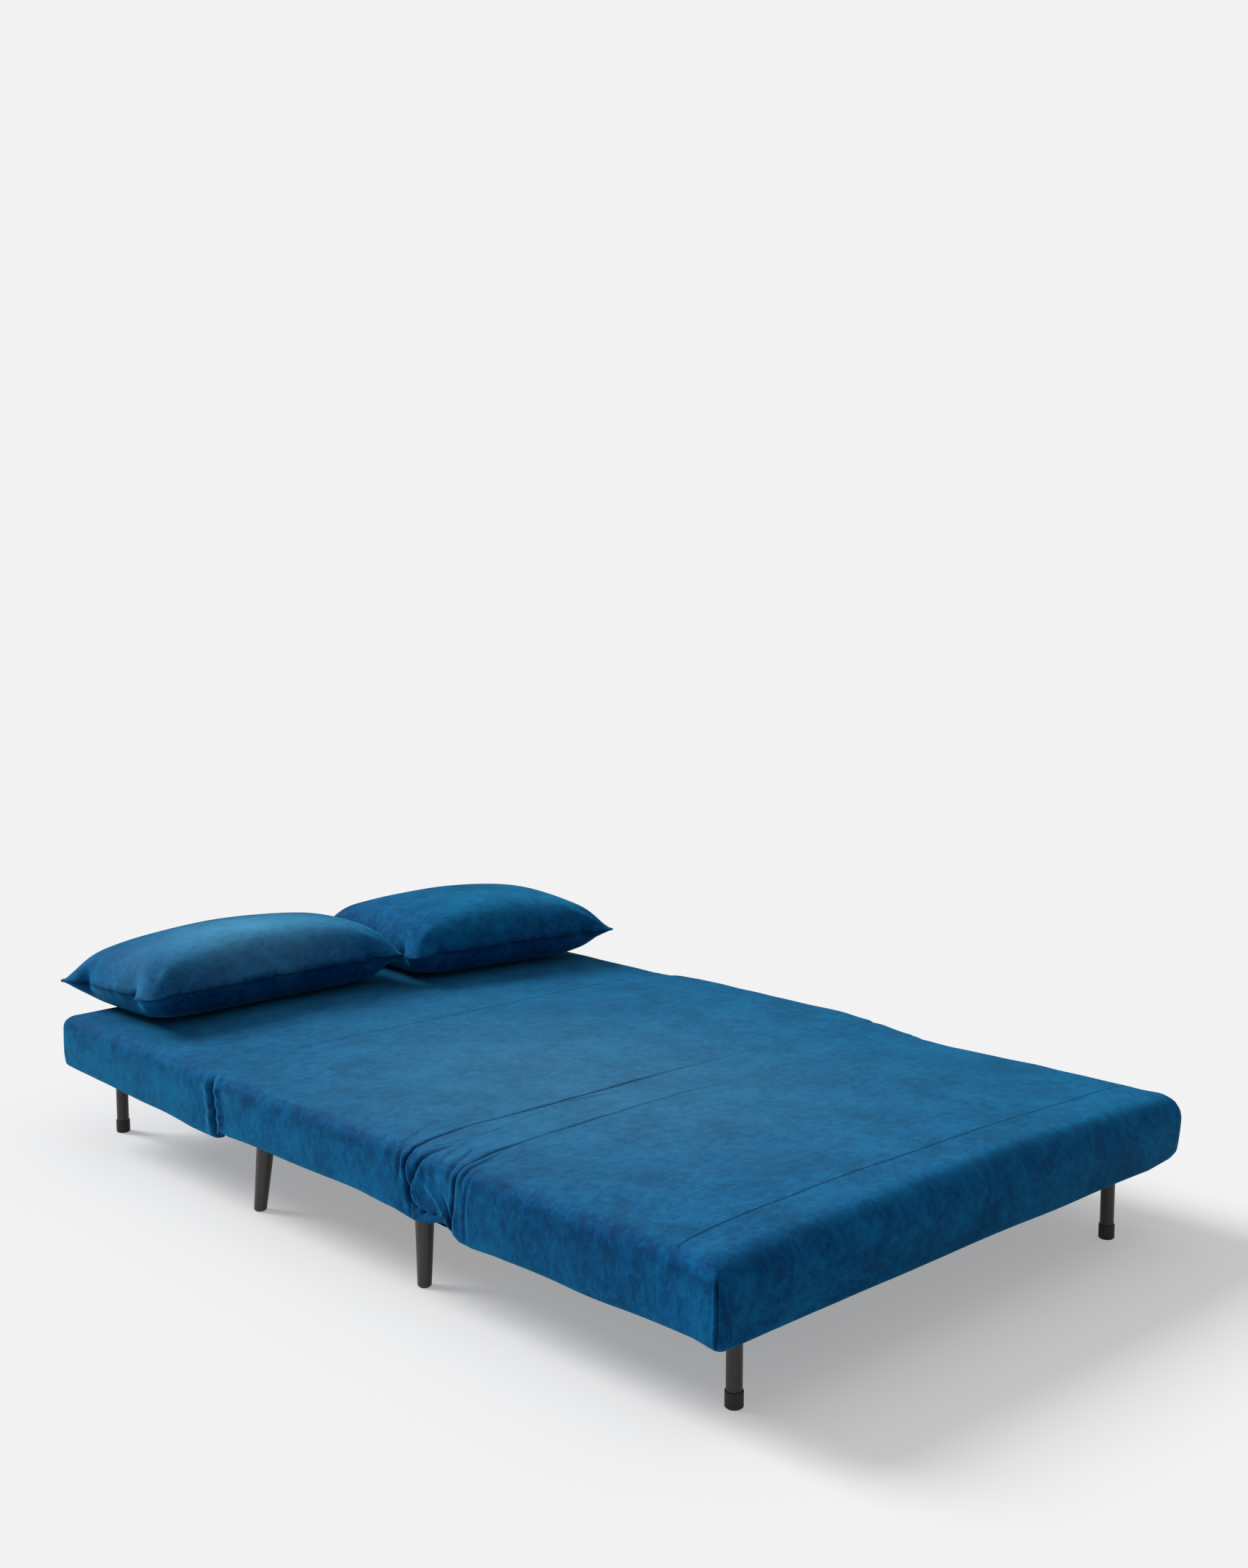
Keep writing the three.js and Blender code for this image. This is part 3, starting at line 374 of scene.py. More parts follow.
# Folds at the gap, each as distances u, places v, depths there and a width: the two creases, and
# the smaller ones that fan out from the near corner and run down the slack sides.
gap_folds = [
    (*seat_crease, [0.0010, 0.0015, 0.0030, 0.0045, 0.0045, 0.0042, 0.0040, 0.0036, 0.0030, 0.0024,
                    0.0018, 0.0017, 0.0021, 0.0025, 0.0018, 0.0013, 0.0008, 0.0005, 0.0004, 0.0006,
                    0.0040, 0.0030], 0.0026),
    (*foot_crease, [0.0062, 0.0060, 0.0048, 0.0040, 0.0036, 0.0030, 0.0018, 0.0022, 0.0026, 0.0026,
                    0.0024, 0.0018, 0.0018, 0.0022, 0.0019, 0.0014, 0.0011, 0.0008, 0.0005, 0.0003,
                    0.0005, 0.0004, 0.0010, 0.0035, 0.0045, 0.0050],
     0.0027),
    ([-0.575, -0.566, -0.552, -0.53, -0.50], [-0.307, -0.3084, -0.310, -0.3162, -0.320],
     [0.0, 0.0016, 0.0020, 0.0015, 0.0], 0.0022),
    ([-0.66, -0.634, -0.618, -0.606, -0.596, -0.588, -0.572, -0.546, -0.52],
     [-0.291, -0.2975, -0.3078, -0.3135, -0.3175, -0.3225, -0.3259, -0.3267, -0.330],
     [0.001, 0.0040, 0.0044, 0.0044, 0.0042, 0.0040, 0.0034, 0.0022, 0.0], 0.0036),
    ([-0.60, -0.584, -0.552, -0.528, -0.502, -0.46, -0.42],
     [-0.368, -0.3627, -0.3489, -0.338, -0.3297, -0.322, -0.317],
     [0.0, 0.0014, 0.0017, 0.0016, 0.0013, 0.0007, 0.0], 0.0026),
    ([-0.65, -0.624, -0.608, -0.596, -0.582, -0.556, -0.532, -0.51],
     [-0.396, -0.3959, -0.3974, -0.3985, -0.396, -0.3826, -0.3693, -0.357],
     [0.0006, 0.0016, 0.0028, 0.0040, 0.0044, 0.0036, 0.0020, 0.0], 0.0034),
    ([-0.65, -0.624, -0.606, -0.594, -0.584, -0.556, -0.52, -0.492, -0.47],
     [-0.436, -0.4335, -0.4325, -0.4345, -0.436, -0.4295, -0.4205, -0.4102, -0.405],
     [0.0, 0.0012, 0.0022, 0.0028, 0.0030, 0.0026, 0.0020, 0.0012, 0.0], 0.0027),
    ([-0.71, -0.676, -0.66, -0.644, -0.63, -0.618, -0.604, -0.59],
     [-0.440, -0.4407, -0.4386, -0.4412, -0.4426, -0.4463, -0.4507, -0.455],
     [0.0012, 0.0016, 0.0022, 0.0022, 0.0020, 0.0014, 0.0008, 0.0], 0.0024),
    ([-0.665, -0.646, -0.634, -0.618, -0.604, -0.592, -0.586, -0.57, -0.542, -0.52],
     [-0.258, -0.2597, -0.264, -0.2667, -0.2653, -0.262, -0.257, -0.2489, -0.2372, -0.230],
     [0.0, 0.0012, 0.0020, 0.0024, 0.0024, 0.0020, 0.0018, 0.0016, 0.0008, 0.0], 0.0026),
    ([-0.56, -0.55, -0.477, -0.40, -0.314, -0.28], [-0.465, -0.4644, -0.4555, -0.4565, -0.461, -0.463],
     [0.0, 0.0005, 0.0009, 0.0006, 0.0005, 0.0], 0.0022),
    ([-0.30, -0.259, -0.20, -0.13, -0.08], [-0.287, -0.291, -0.300, -0.311, -0.318],
     [0.0, 0.0010, 0.0011, 0.0007, 0.0], 0.0026),
    ([-0.52, -0.484, -0.454, -0.432, -0.402, -0.378, -0.33, -0.28],
     [-0.318, -0.317, -0.319, -0.3215, -0.315, -0.3106, -0.306, -0.303],
     [0.0, 0.0006, 0.0010, 0.0013, 0.0013, 0.0011, 0.0007, 0.0], 0.0028),
    ([-0.48, -0.436, -0.386, -0.33, -0.26], [-0.346, -0.3435, -0.344, -0.345, -0.347],
     [0.0, 0.0007, 0.0008, 0.0005, 0.0], 0.0026),
    ([-0.565, -0.55, -0.534, -0.506, -0.48], [-0.243, -0.2376, -0.2318, -0.2207, -0.212],
     [0.0, 0.0008, 0.0010, 0.0007, 0.0], 0.0030),
    ([-0.712, -0.688, -0.684, -0.680, -0.676, -0.666, -0.654, -0.644],
     [-0.392, -0.3792, -0.3479, -0.3236, -0.3064, -0.2918, -0.2871, -0.286],
     [0.003, 0.0045, 0.0055, 0.0060, 0.0060, 0.0055, 0.0040, 0.001], 0.0060),
    ([-0.712, -0.69, -0.68, -0.668, -0.646, -0.63, -0.618],
     [-0.398, -0.386, -0.3793, -0.370, -0.3463, -0.3174, -0.305],
     [-0.001, -0.0026, -0.0034, -0.0036, -0.0030, -0.0020, 0.0], 0.0050),
    ([-0.712, -0.69, -0.68, -0.666, -0.658, -0.64], [-0.3985, -0.3975, -0.3950, -0.3885, -0.3798, -0.372],
     [0.0055, 0.0060, 0.0055, 0.0035, 0.0020, 0.0], 0.0050),
    ([0.57, 0.60, 0.65, 0.712], [-0.300, -0.315, -0.340, -0.378], [0.0, 0.005, 0.004, 0.001], 0.0060),
    ([0.59, 0.62, 0.66, 0.712], [-0.345, -0.352, -0.366, -0.385], [0.0, 0.004, 0.004, 0.001], 0.0055),
]


def taper(place, start, length):
    """0 up to start, then straight up to 1 over the length, and 1 beyond. A negative length runs
    the other way."""
    return np.clip((place - start) / length, 0, 1)


def crown(x):
    """Height of the bed's top: side_top + crown_rise (1 - (x / shoulder)^2)."""
    return side_top + crown_rise * (1 - taper(np.abs(x), 0, shoulder) ** 2)


def ripple(u, v, seed, size, waves=9):
    """Sum of sines in random directions, each of wavelength near size, scaled to about -1 to 1."""
    dice = np.random.default_rng(seed)
    total = np.zeros_like(u)
    for _ in range(waves):
        turn, phase = dice.uniform(0, 2 * math.pi, 2)
        pace = 2 * math.pi / (size * dice.uniform(0.7, 1.5))
        total += np.sin(pace * (u * math.cos(turn) + v * math.sin(turn)) + phase)
    return total / math.sqrt(waves)


def bell(off, width, power=2):
    """A rounded bump: exp(-|off / width|^power)."""
    return np.exp(-np.abs(off / width) ** power)


def cloth_relief(u, v):
    """How far the cloth stands out at (u, v), and its painted shade there, from 0 to 1. A fold of depth
    d and width w adds d (0.28 bell(|off| - 3.5 w, 2.5 w) - bell(off, w)) along its line."""
    height = 0.0009 * ripple(u, v, seed=3, size=0.34) + 0.0004 * ripple(u, v, seed=5, size=0.12)
    dark = np.zeros_like(u)
    for line_u, line_v, depths, width in gap_folds:
        off = v - np.interp(u, line_u, line_v)
        inside = (u >= line_u[0]) & (u <= line_u[-1])
        depth = np.interp(u, line_u, depths) * inside
        height = height + depth * (0.28 * bell(np.abs(off) - 3.5 * width, 2.5 * width) - bell(off, width))
        # Painted shade along each fold, fuller the deeper it is.
        dark = dark + taper(depth, 0, deep_fold) * bell(off, width * 0.85)
    drawn = bell(v - gap_place, 0.10, 4) * bell(u + 0.45, 0.33)
    height = height + drawn * 0.0006 * ripple(u * 0.25, v, seed=8, size=0.028)

    # The seams over the top: puckers between the stitches, a groove, and cloth that rises beside it.
    stitch_pitch = 0.019
    on_top = taper(np.abs(u), edge_line, -0.012)
    head_shade = np.interp(
        u, [-0.58, -0.45, -0.28, -0.1, 0.3, 0.58], [0.10, 0.22, 0.45, 0.60, 0.62, 0.45])
    seams = [(head_seam, 0.0018 * head_shade, 0.0017, head_shade), (foot_seam, 0.0012, 0.0021, 0.95)]
    for line, depth, width, shade in seams:
        off = v - np.interp(u, *line)
        pucker = np.sin(u * 2 * math.pi / stitch_pitch + 2 * np.sin(u * 9)) * bell(off, 0.012, 1)
        groove = depth * 0.4 * bell(off, width * 7) - depth * bell(off, width)
        height = height + on_top * (0.00018 * pucker + groove)
        # Painted shade along the groove.
        dark = dark + on_top * shade * bell(off, width * 0.8)

    # The edge between top and side with painted shade along it, and patches of painted shade just below it.
    edge = np.abs(u) - edge_line
    height = height - 0.0005 * bell(edge, 0.003) + 0.0004 * bell(edge, 0.014)
    dark = dark + (0.16 + 0.10 * np.sin(v * 31)) * bell(edge, 0.0022)
    spots = 0.6 * ripple(u, v, seed=14, size=0.05) + 0.4 * ripple(u, v, seed=15, size=0.022)
    dark = dark + 0.45 * np.clip(0.5 + spots, 0, 1) * bell(np.abs(u) - 0.613, 0.015)

    # The crease opens into a gathered slit down each side, the gap into slack folds.
    gather_pitch = 0.024
    down = taper(np.abs(u), 0.582, 0.03)
    off = v - np.interp(u, *head_seam) - 0.0020 * np.sin((np.abs(u) - half_width) * 90)
    height = height + down * (0.0035 * bell(np.abs(off) - 0.016, 0.009) - 0.0045 * bell(off, 0.0055))
    gathers = np.sin(u * 2 * math.pi / gather_pitch) * bell(np.abs(off) - 0.014, 0.014)
    height = height + down * 0.0016 * gathers
    # Painted shade in the slit.
    dark = dark + down * 0.9 * bell(off, 0.0035)
    slack = taper(np.abs(u), 0.575, 0.045) * bell(v + 0.350, 0.046, 4)
    height = height - 0.0030 * slack
    return np.maximum(height, -deepest_dent), np.clip(dark, 0, 1)


def corner_seam(points):
    """The side seam down both corners of the foot end: a stitched groove with a small lip beside it,
    0.0016 bell(off - 0.0042, 0.0024) - 0.0020 bell(off, 0.0016), and the painted shade along it."""
    x, y, z = points.T
    off = y + 0.9885
    on_side = taper(np.abs(x), 0.584, 0.006) * taper(z, 0.250, -0.015) * (y < -0.95)
    groove = 0.0016 * bell(off - 0.0042, 0.0024) - 0.0020 * bell(off, 0.0016)
    return on_side * groove, on_side * 0.85 * bell(off, 0.0015)


def settle(points):
    """The bed's slow shapes, by place: the hem's rise and fall, the seat's fuller far edge, dips at
    crease and gap, and sides that swell out by a few millimetres between top and hem."""
    x, y, z = points.T.copy()
    lower = taper(z, 0.225, -0.06)
    upper = taper(z, 0.19, 0.05)
    near = taper(x, 0.62, -1.2)
    hem_places = [-1.0, -0.93, -0.80, -0.70, -0.62, -0.50, -0.45, -0.42, -0.40, -0.385, -0.36, -0.33,
                  -0.30, -0.25, -0.15, -0.05, 0.05, 0.15, 0.27, 0.2885, 0.305, 0.32, 0.40, 0.50, 0.62,
                  0.76, 0.87, 0.91]
    hem_near = [-0.0055, -0.0085, -0.0085, -0.0115, -0.011, -0.0107, -0.014, -0.0129, -0.0038, 0.007,
                0.0021, -0.008, -0.009, -0.0015, 0.0035, 0.0016, 0.0028, 0.002, 0.0, 0.005, -0.010,
                -0.011, -0.011, -0.0046, 0.0, 0.003, 0.009, 0.012]
    hem_far = [-0.001, -0.002, -0.003, -0.0035, -0.004, -0.0033, -0.003, -0.0008, 0.0016, 0.004,
               0.0031, 0.002, 0.001, 0.001, 0.001, 0.001, 0.0004, 0.0, -0.001, 0.004, -0.002, -0.0019,
               -0.001, -0.0006, 0.0, 0.004, 0.008, 0.011]
    hem = np.interp(y, hem_places, hem_near) * near + np.interp(y, hem_places, hem_far) * (1 - near)
    end_places = [-0.6, -0.5, -0.35, -0.15, 0.0, 0.15, 0.3, 0.5, 0.57, 0.6]
    hem_end = [-0.006, -0.005, -0.0075, -0.006, -0.0065, -0.006, -0.0065, -0.0075, -0.001, 0.009]
    hem = hem + taper(y, -0.94, -0.05) * np.interp(x, end_places, hem_end)
    hem = hem + 0.0012 * np.sin(y * 23 + x * 5) + 0.0010 * np.sin(x * 17 + 1)
    far_places = [-0.9985, -0.93, -0.80, -0.60, -0.50, -0.43, -0.40, -0.335, -0.28, -0.22, -0.15,
                  -0.05, 0.05, 0.12, 0.20, 0.26, 0.2885, 0.32, 0.38, 0.6, 0.9015]
    far_rise = [0.0, -0.003, -0.0026, -0.0043, -0.0066, -0.006, -0.001, 0.006, 0.0088, 0.011, 0.0107,
                0.0115, 0.0115, 0.0115, 0.0115, 0.008, 0.0035, 0.0033, 0.002, 0.0025, 0.003]
    far = taper(x, -0.05, 0.62) ** 2
    dips = -0.0022 * bell(y + 0.33, 0.07) - 0.0016 * bell(y - 0.305, 0.05)
    near_head = 0.0075 * taper(y, 0.70, 0.2) ** 2 * taper(x, -0.35, -0.25)
    rise = far * np.interp(y, far_places, far_rise) + dips + near_head
    swell = np.clip(np.sin((z - bottom) / side_height * math.pi), 0, 1)
    side_out = 0.0030 * swell * taper(np.abs(x), 0.55, 0.04)
    side_out = side_out * (1 - bell(y - crease_place, 0.05)) * (1 - bell(y - gap_place, 0.09, 4))
    foot_out = 0.0055 * swell * taper(y, -0.95, -0.04)
    head_out = 0.0050 * swell * taper(y, 0.87, 0.03)
    moved_x, moved_y = x + np.sign(x) * side_out, y - foot_out + head_out
    return np.column_stack([moved_x, moved_y, z + hem * lower + rise * upper])


def mark(piece, name, values, where="POINT"):
    """Writes one number for each point, or each edge, of a piece under this name."""
    marks = piece.data.attributes.new(name, "FLOAT", where)
    marks.data.foreach_set("value", values.astype(np.float32))


def add_mesh(name, points, quads, crease=None, cloth=None):
    """A mesh object of these points and four-cornered faces. A last corner given twice makes a
    triangle. crease is the painted shade at each point, and cloth the point's place on the cloth's map."""
    whole = quads[:, 3] != quads[:, 2]
    faces = quads[whole].tolist() + quads[~whole][:, :3].tolist()
    data = bpy.data.meshes.new(name)
    data.from_pydata(points.tolist(), [], faces)
    data.polygons.foreach_set("use_smooth", [True] * len(data.polygons))
    piece = bpy.data.objects.new(name, data)
    if crease is not None:
        mark(piece, "crease", crease)
    if cloth is not None:
        corners = np.zeros(len(data.loops), int)
        data.loops.foreach_get("vertex_index", corners)
        data.uv_layers.new(name="cloth").data.foreach_set("uv", cloth[corners].astype(np.float32).ravel())
    data.update()
    bpy.context.scene.collection.objects.link(piece)
    return piece


def crossed_diagonals(corners):
    """(p2 - p0) x (p3 - p1) of each face, which lies along its normal."""
    return np.cross(corners[:, 2] - corners[:, 0], corners[:, 3] - corners[:, 1])


def vertex_normals(points, quads):
    """Unit normals: the crossed diagonals of all faces, summed at each corner."""
    crossed = crossed_diagonals(points[quads])
    total = np.zeros_like(points)
    for corner in range(4):
        for axis in range(3):
            total[:, axis] += np.bincount(quads[:, corner], crossed[:, axis], len(points))
    return total / np.maximum(np.linalg.norm(total, axis=1, keepdims=True), 1e-12)


def grid_quads(index):
    """Faces between neighbouring rows and columns of a grid of point numbers."""
    a, b, c, d = index[:-1, :-1], index[:-1, 1:], index[1:, 1:], index[1:, :-1]
    return np.stack([a, b, c, d], -1).reshape(-1, 4)


def way_down(radius):
    """Profile of a side below the rim, down a roll of this radius, the straight side, the lower roll
    and the hem: shares of the outward reach, heights below the rim, insets under the bed, and
    distances along the cloth."""
    turn = np.linspace(0, math.pi / 2, 10)[1:]
    under = np.linspace(0, math.pi / 2, 5)[1:]
    shares = np.linspace(0, 1, 19)[1:]
    hem = hem_width * np.array([0.5, 1.0])
    height = side_top - radius - bottom - bottom_radius
    rolled = side_radius * math.pi / 2
    out = np.concatenate([np.sin(turn), np.ones(len(shares) + len(under) + len(hem))])
    drop = np.concatenate([
        radius * (1 - np.cos(turn)),
        radius + height * shares,
        radius + height + bottom_radius * np.sin(under),
        [side_height] * len(hem),
    ])
    inset = np.concatenate([
        np.zeros(len(turn) + len(shares)),
        bottom_radius * (1 - np.cos(under)),
        bottom_radius + hem,
    ])
    along = np.concatenate([
        side_radius * turn,
        rolled + height * shares,
        rolled + height + bottom_radius * under,
        rolled + height + bottom_radius * math.pi / 2 + hem,
    ])
    return out, drop, inset, along


def row_places(guides, counts, fineness, u):
    """Places v of all rows at distances u: between neighbouring guide lines the share is
    t - (1 - fineness) sin(2 pi t) / (2 pi), so that rows crowd towards the guides and lie along them."""
    rows = []
    for number, count in enumerate(counts):
        t = np.linspace(0, 1, count + 1)[1 if number else 0:]
        share = (t - (1 - fineness) * np.sin(2 * math.pi * t) / (2 * math.pi))[:, None]
        before, after = np.interp(u, *guides[number]), np.interp(u, *guides[number + 1])
        rows.append(before * (1 - share) + after * share)
    return np.vstack(rows)


def straight(v):
    """A guide straight across the bed and down both sides."""
    return [-0.8, 0.8], [v, v]


def pressed(name, points, quads, u, v):
    """Turns the faces away from the bed's inside, and those of the top upwards. Then it presses the
    cloth's relief into the skin, settles it and makes the mesh."""
    crossed = crossed_diagonals(points[quads])
    middle = points[quads].mean(1)
    inside = middle.copy()
    inside[:, 0] *= 0.85
    inside[:, 1] = np.clip(middle[:, 1], -0.90, 0.85)
    inside[:, 2] = 0.215
    flipped = np.sum(crossed * (middle - inside), axis=1) < 0
    on_top = middle[:, 2] > points[:, 2].max() - 0.02
    flipped[on_top] = crossed[on_top, 2] < 0
    triangle = quads[:, 3] == quads[:, 2]
    turned = quads[:, ::-1].copy()
    turned[triangle] = quads[triangle][:, [1, 0, 2, 2]]
    quads = np.where(flipped[:, None], turned, quads)
    normals = vertex_normals(points, quads)
    height, dark = cloth_relief(u, v)
    seam_height, seam_dark = corner_seam(points)
    height, dark = height + seam_height, np.clip(dark + seam_dark, 0, 1)
    fade = np.clip((points[:, 2] - bottom) / 0.02, 0.15, 1)
    moved = settle(points + normals * (height * fade)[:, None])
    piece = add_mesh(name, moved, quads, dark, np.column_stack([u, v]))
    # Paler top, most in its middle: partly pile brushed up, partly painted light; none on the sides.
    off_the_edges = taper(np.abs(u), 0.602, -0.03) * taper(v, -0.975, 0.03)
    lit_middle = bell(u + 0.15, 0.45) * bell(v + 0.20, 0.55)
    mark(piece, "nap", off_the_edges * (0.05 + 0.34 * lit_middle))
    piece.data.materials.append(cover_velvet)
    return piece


def fitted_cover(name, guides, counts, end, end_radius):
    """Skin from the first guide to a closed end: rows over the top, and rings down round three sides.
    The rim goes out round each corner on the curve (x / rx)^5 + (y / ry)^5 = 1."""
    toward = 1 if end > 0 else -1
    columns = np.linspace(-shoulder, shoulder, column_count + 1)
    guides = guides + [straight(end - toward * end_radius)]
    y = row_places(guides, counts, row_fineness, columns)
    x = np.broadcast_to(columns, y.shape)
    top = np.stack([x, y, crown(x)], -1)
    index = np.arange(y.size).reshape(y.shape)
    last = len(y) - 1

    # Angles round a corner, at even distances along its curve.
    fine = np.linspace(0, math.pi / 2, 600)
    step_x = np.diff(np.cos(fine) ** corner_power) * side_radius
    step_y = np.diff(np.sin(fine) ** corner_power) * end_radius
    travelled = np.append(0, np.cumsum(np.hypot(step_x, step_y)))
    fan = np.interp(np.linspace(0, travelled[-1], corner_columns + 2)[1:-1], travelled, fine)

    # The rim's way: along the left side, round a corner, across the end, round the other and back.
    left, across = np.arange(last + 1), np.arange(column_count + 1)
    rim_row = np.concatenate([left, np.full(len(fan) * 2 + len(across), last), left[::-1]])
    rim_column = np.concatenate([
        left * 0, fan * 0, across, fan * 0 + column_count, left * 0 + column_count]).astype(int)
    angle = np.concatenate([left * 0.0, fan, across * 0.0 + math.pi / 2, fan[::-1], left * 0.0])
    side = np.concatenate([
        left * 0 - 1.0, fan * 0 - 1, np.sign(across - column_count / 2 - 0.1),
        fan * 0 + 1, left * 0 + 1.0])
    cosine, sine = np.clip(np.cos(angle), 0, 1) ** corner_power, np.sin(angle) ** corner_power
    cosine[angle > 1.57] = 0
    reach = np.column_stack([side * cosine * side_radius, toward * sine * end_radius])
    unit = reach / np.linalg.norm(reach, axis=1, keepdims=True)
    inner = top[rim_row, rim_column]
    turned = np.sin(angle) ** 2

    # The rings below the rim, whose rows lean with the guides down both long sides.
    out, drop_side, inset, along = way_down(side_radius)
    drop_end = way_down(end_radius)[1]
    drop = drop_side[:, None] * (1 - turned) + drop_end[:, None] * turned
    sunk = (inner[:, 2] - side_top) * taper(drop, 0, side_height)
    rings_xy = inner[None, :, :2] + reach[None] * out[:, None, None] - unit[None] * inset[:, None, None]
    rings = np.dstack([rings_xy, inner[None, :, 2] - drop - sunk])
    leaning = np.stack([
        row_places(guides, counts, row_fineness, np.array([-shoulder - a, shoulder + a])) for a in along])
    rings[:, :last + 1, 1] = leaning[:, :, 0]
    rings[:, -last - 1:, 1] = leaning[:, ::-1, 1]
    ring_index = y.size + np.arange(rings[..., 0].size).reshape(rings.shape[:2])
    quads = grid_quads(np.vstack([index[rim_row, rim_column][None], ring_index]))
    pinched = quads[:, 0] == quads[:, 1]
    quads[pinched] = quads[pinched][:, [0, 2, 3, 3]]
    points = np.vstack([top.reshape(-1, 3), rings.reshape(-1, 3)])
    quads = np.vstack([grid_quads(index), quads])
    spread = along[:, None]
    ring_u = inner[None, :, 0] + side[None] * spread * cosine[None]
    ring_v = np.where(angle[None] == 0, rings[..., 1], inner[None, :, 1] + toward * spread * sine[None])
    u = np.concatenate([x.ravel(), ring_u.ravel()])
    v = np.concatenate([y.ravel(), ring_v.ravel()])
    return pressed(name, points, quads, u, v)


def open_cover(name, guides, count, fineness):
    """Skin between two guides, open at both: the bed's outline from hem to hem, carried along."""
    columns = np.linspace(-shoulder, shoulder, column_count + 1)
    out, drop, inset, along = way_down(side_radius)
    edge_x = shoulder + side_radius * out - inset
    outline_x = np.concatenate([-edge_x[::-1], columns, edge_x])
    outline_z = np.concatenate([side_top - drop[::-1], crown(columns), side_top - drop])
    u_line = np.concatenate([-(shoulder + along[::-1]), columns, shoulder + along])
    y = row_places(guides, [count], fineness, u_line)
    u = np.broadcast_to(u_line, y.shape)
    x, z = np.broadcast_to(outline_x, y.shape), np.broadcast_to(outline_z, y.shape)
    points = np.stack([x, y, z], -1).reshape(-1, 3)
    return pressed(name, points, grid_quads(np.arange(y.size).reshape(y.shape)), u.ravel(), y.ravel())


seat_and_backrest = fitted_cover(
    "seat_and_backrest_cover", [seat_crease, straight(-0.232), head_seam, straight(0.60)],
    counts=[22, 66, 40, 34], end=0.9015, end_radius=0.032)
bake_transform(seat_and_backrest)
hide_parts("backrest_cover", "backrest_foam", "seat_cover", "seat_foam", "crease_gusset")

gap_cover = open_cover("gap_cover", [gap_edge, seat_crease], count=60, fineness=0.45)
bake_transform(gap_cover)
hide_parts("footrest_gusset")

footrest_skin = fitted_cover(
    "footrest_skin", [gap_edge, foot_crease, straight(-0.462), foot_seam],
    counts=[14, 30, 58, 22], end=-0.9985, end_radius=0.045)
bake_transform(footrest_skin)
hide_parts("footrest_cover", "footrest_foam")


# Under the gap: the slack sleeve's lower side, loose velvet hanging from frame to frame. It is two
# sheets, seamed across the bed, because it bends at both of the footrest's hinges.
def gap_floor(name, low, high):
    """Sheet from place low to place high along the bed, at the height
    bottom + 0.0045 - 0.004 bell(y + 0.365, 0.05) + 0.0012 ripple."""
    x, y = np.meshgrid(np.linspace(-0.590, 0.590, 120), np.linspace(low, high, 18), indexing="ij")
    z = bottom + 0.0045 - 0.004 * bell(y + 0.365, 0.05) + 0.0012 * ripple(x, y, seed=21, size=0.09)
    points = np.stack([x, y, z], -1).reshape(-1, 3)
    quads = grid_quads(np.arange(x.size).reshape(x.shape))
    piece = add_mesh(name, points, quads, np.zeros(x.size), points[:, :2])
    piece.data.materials.append(cover_velvet)
    return piece


gap_floor_rear = gap_floor("gap_floor_rear", -0.364, -0.288)
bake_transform(gap_floor_rear)
gap_floor_front = gap_floor("gap_floor_front", -0.442, -0.364)
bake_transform(gap_floor_front)


# Pillows: two loose velvet pillows with a knife edge, two equal panels sewn together round the
# rim and stuffed with fibre, lying side by side at the head end. The panels are cut flat and filled.
cell = 0.0105
seam_radius = 0.0012
pillow_top = 0.4335


def pillow_panels(deep, long, fullness):
    """Two panels on a square grid, sharing their rim: half thickness fullness ((1 - s^2)(1 - t^2))^0.5,
    and corners drawn in by the share 0.05 s^10 t^10. Also gives the rim's points in order."""
    shares_deep = np.linspace(-1, 1, round(deep / cell) + 1)
    shares_long = np.linspace(-1, 1, round(long / cell) + 1)
    s, t = np.meshgrid(shares_deep, shares_long, indexing="ij")
    drawn = 1 - 0.05 * s ** 10 * t ** 10
    x, y = long / 2 * t * drawn, deep / 2 * s * drawn
    full = fullness * np.sqrt(np.clip((1 - s ** 2) * (1 - t ** 2), 0, 1))
    index = np.arange(s.size).reshape(s.shape)
    rim = np.maximum(np.abs(s), np.abs(t)) > 0.9999
    under = np.where(rim, index, index + s.size)
    quads = np.vstack([grid_quads(index), grid_quads(under)[:, ::-1]])
    points = np.vstack([np.stack([x, y, z], -1).reshape(-1, 3) for z in (full, -full)])
    used = np.unique(quads)
    number = np.zeros(len(points), int)
    number[used] = np.arange(len(used))
    loop = np.concatenate([index[0, :-1], index[:-1, -1], index[-1, :0:-1], index[:0:-1, 0]])
    return points[used], number[quads], number[loop]


def filled(piece, frames):
    """Blows the panels up with cloth simulation, and returns the places that the cloth comes to."""
    cloth = piece.modifiers.new("fill", "CLOTH")
    cloth.settings.quality = 6
    cloth.settings.mass = 0.3
    cloth.settings.tension_stiffness = cloth.settings.compression_stiffness = 3
    cloth.settings.shear_stiffness = 1
    cloth.settings.bending_stiffness = 0.2
    cloth.settings.tension_damping = cloth.settings.compression_damping = cloth.settings.shear_damping = 25
    cloth.settings.air_damping = 8
    cloth.settings.use_pressure = True
    cloth.settings.uniform_pressure_force = 3
    cloth.settings.effector_weights.gravity = 0
    cloth.collision_settings.use_collision = False
    cloth.point_cache.frame_start, cloth.point_cache.frame_end = 1, frames
    for frame_number in range(1, frames + 1):
        bpy.context.scene.frame_set(frame_number)
    shape = piece.evaluated_get(bpy.context.evaluated_depsgraph_get()).data
    places = np.zeros(len(piece.data.vertices) * 3, np.float32)
    shape.vertices.foreach_get("co", places)
    piece.modifiers.remove(cloth)
    bpy.context.scene.frame_set(1)
    return places.reshape(-1, 3).astype(float)


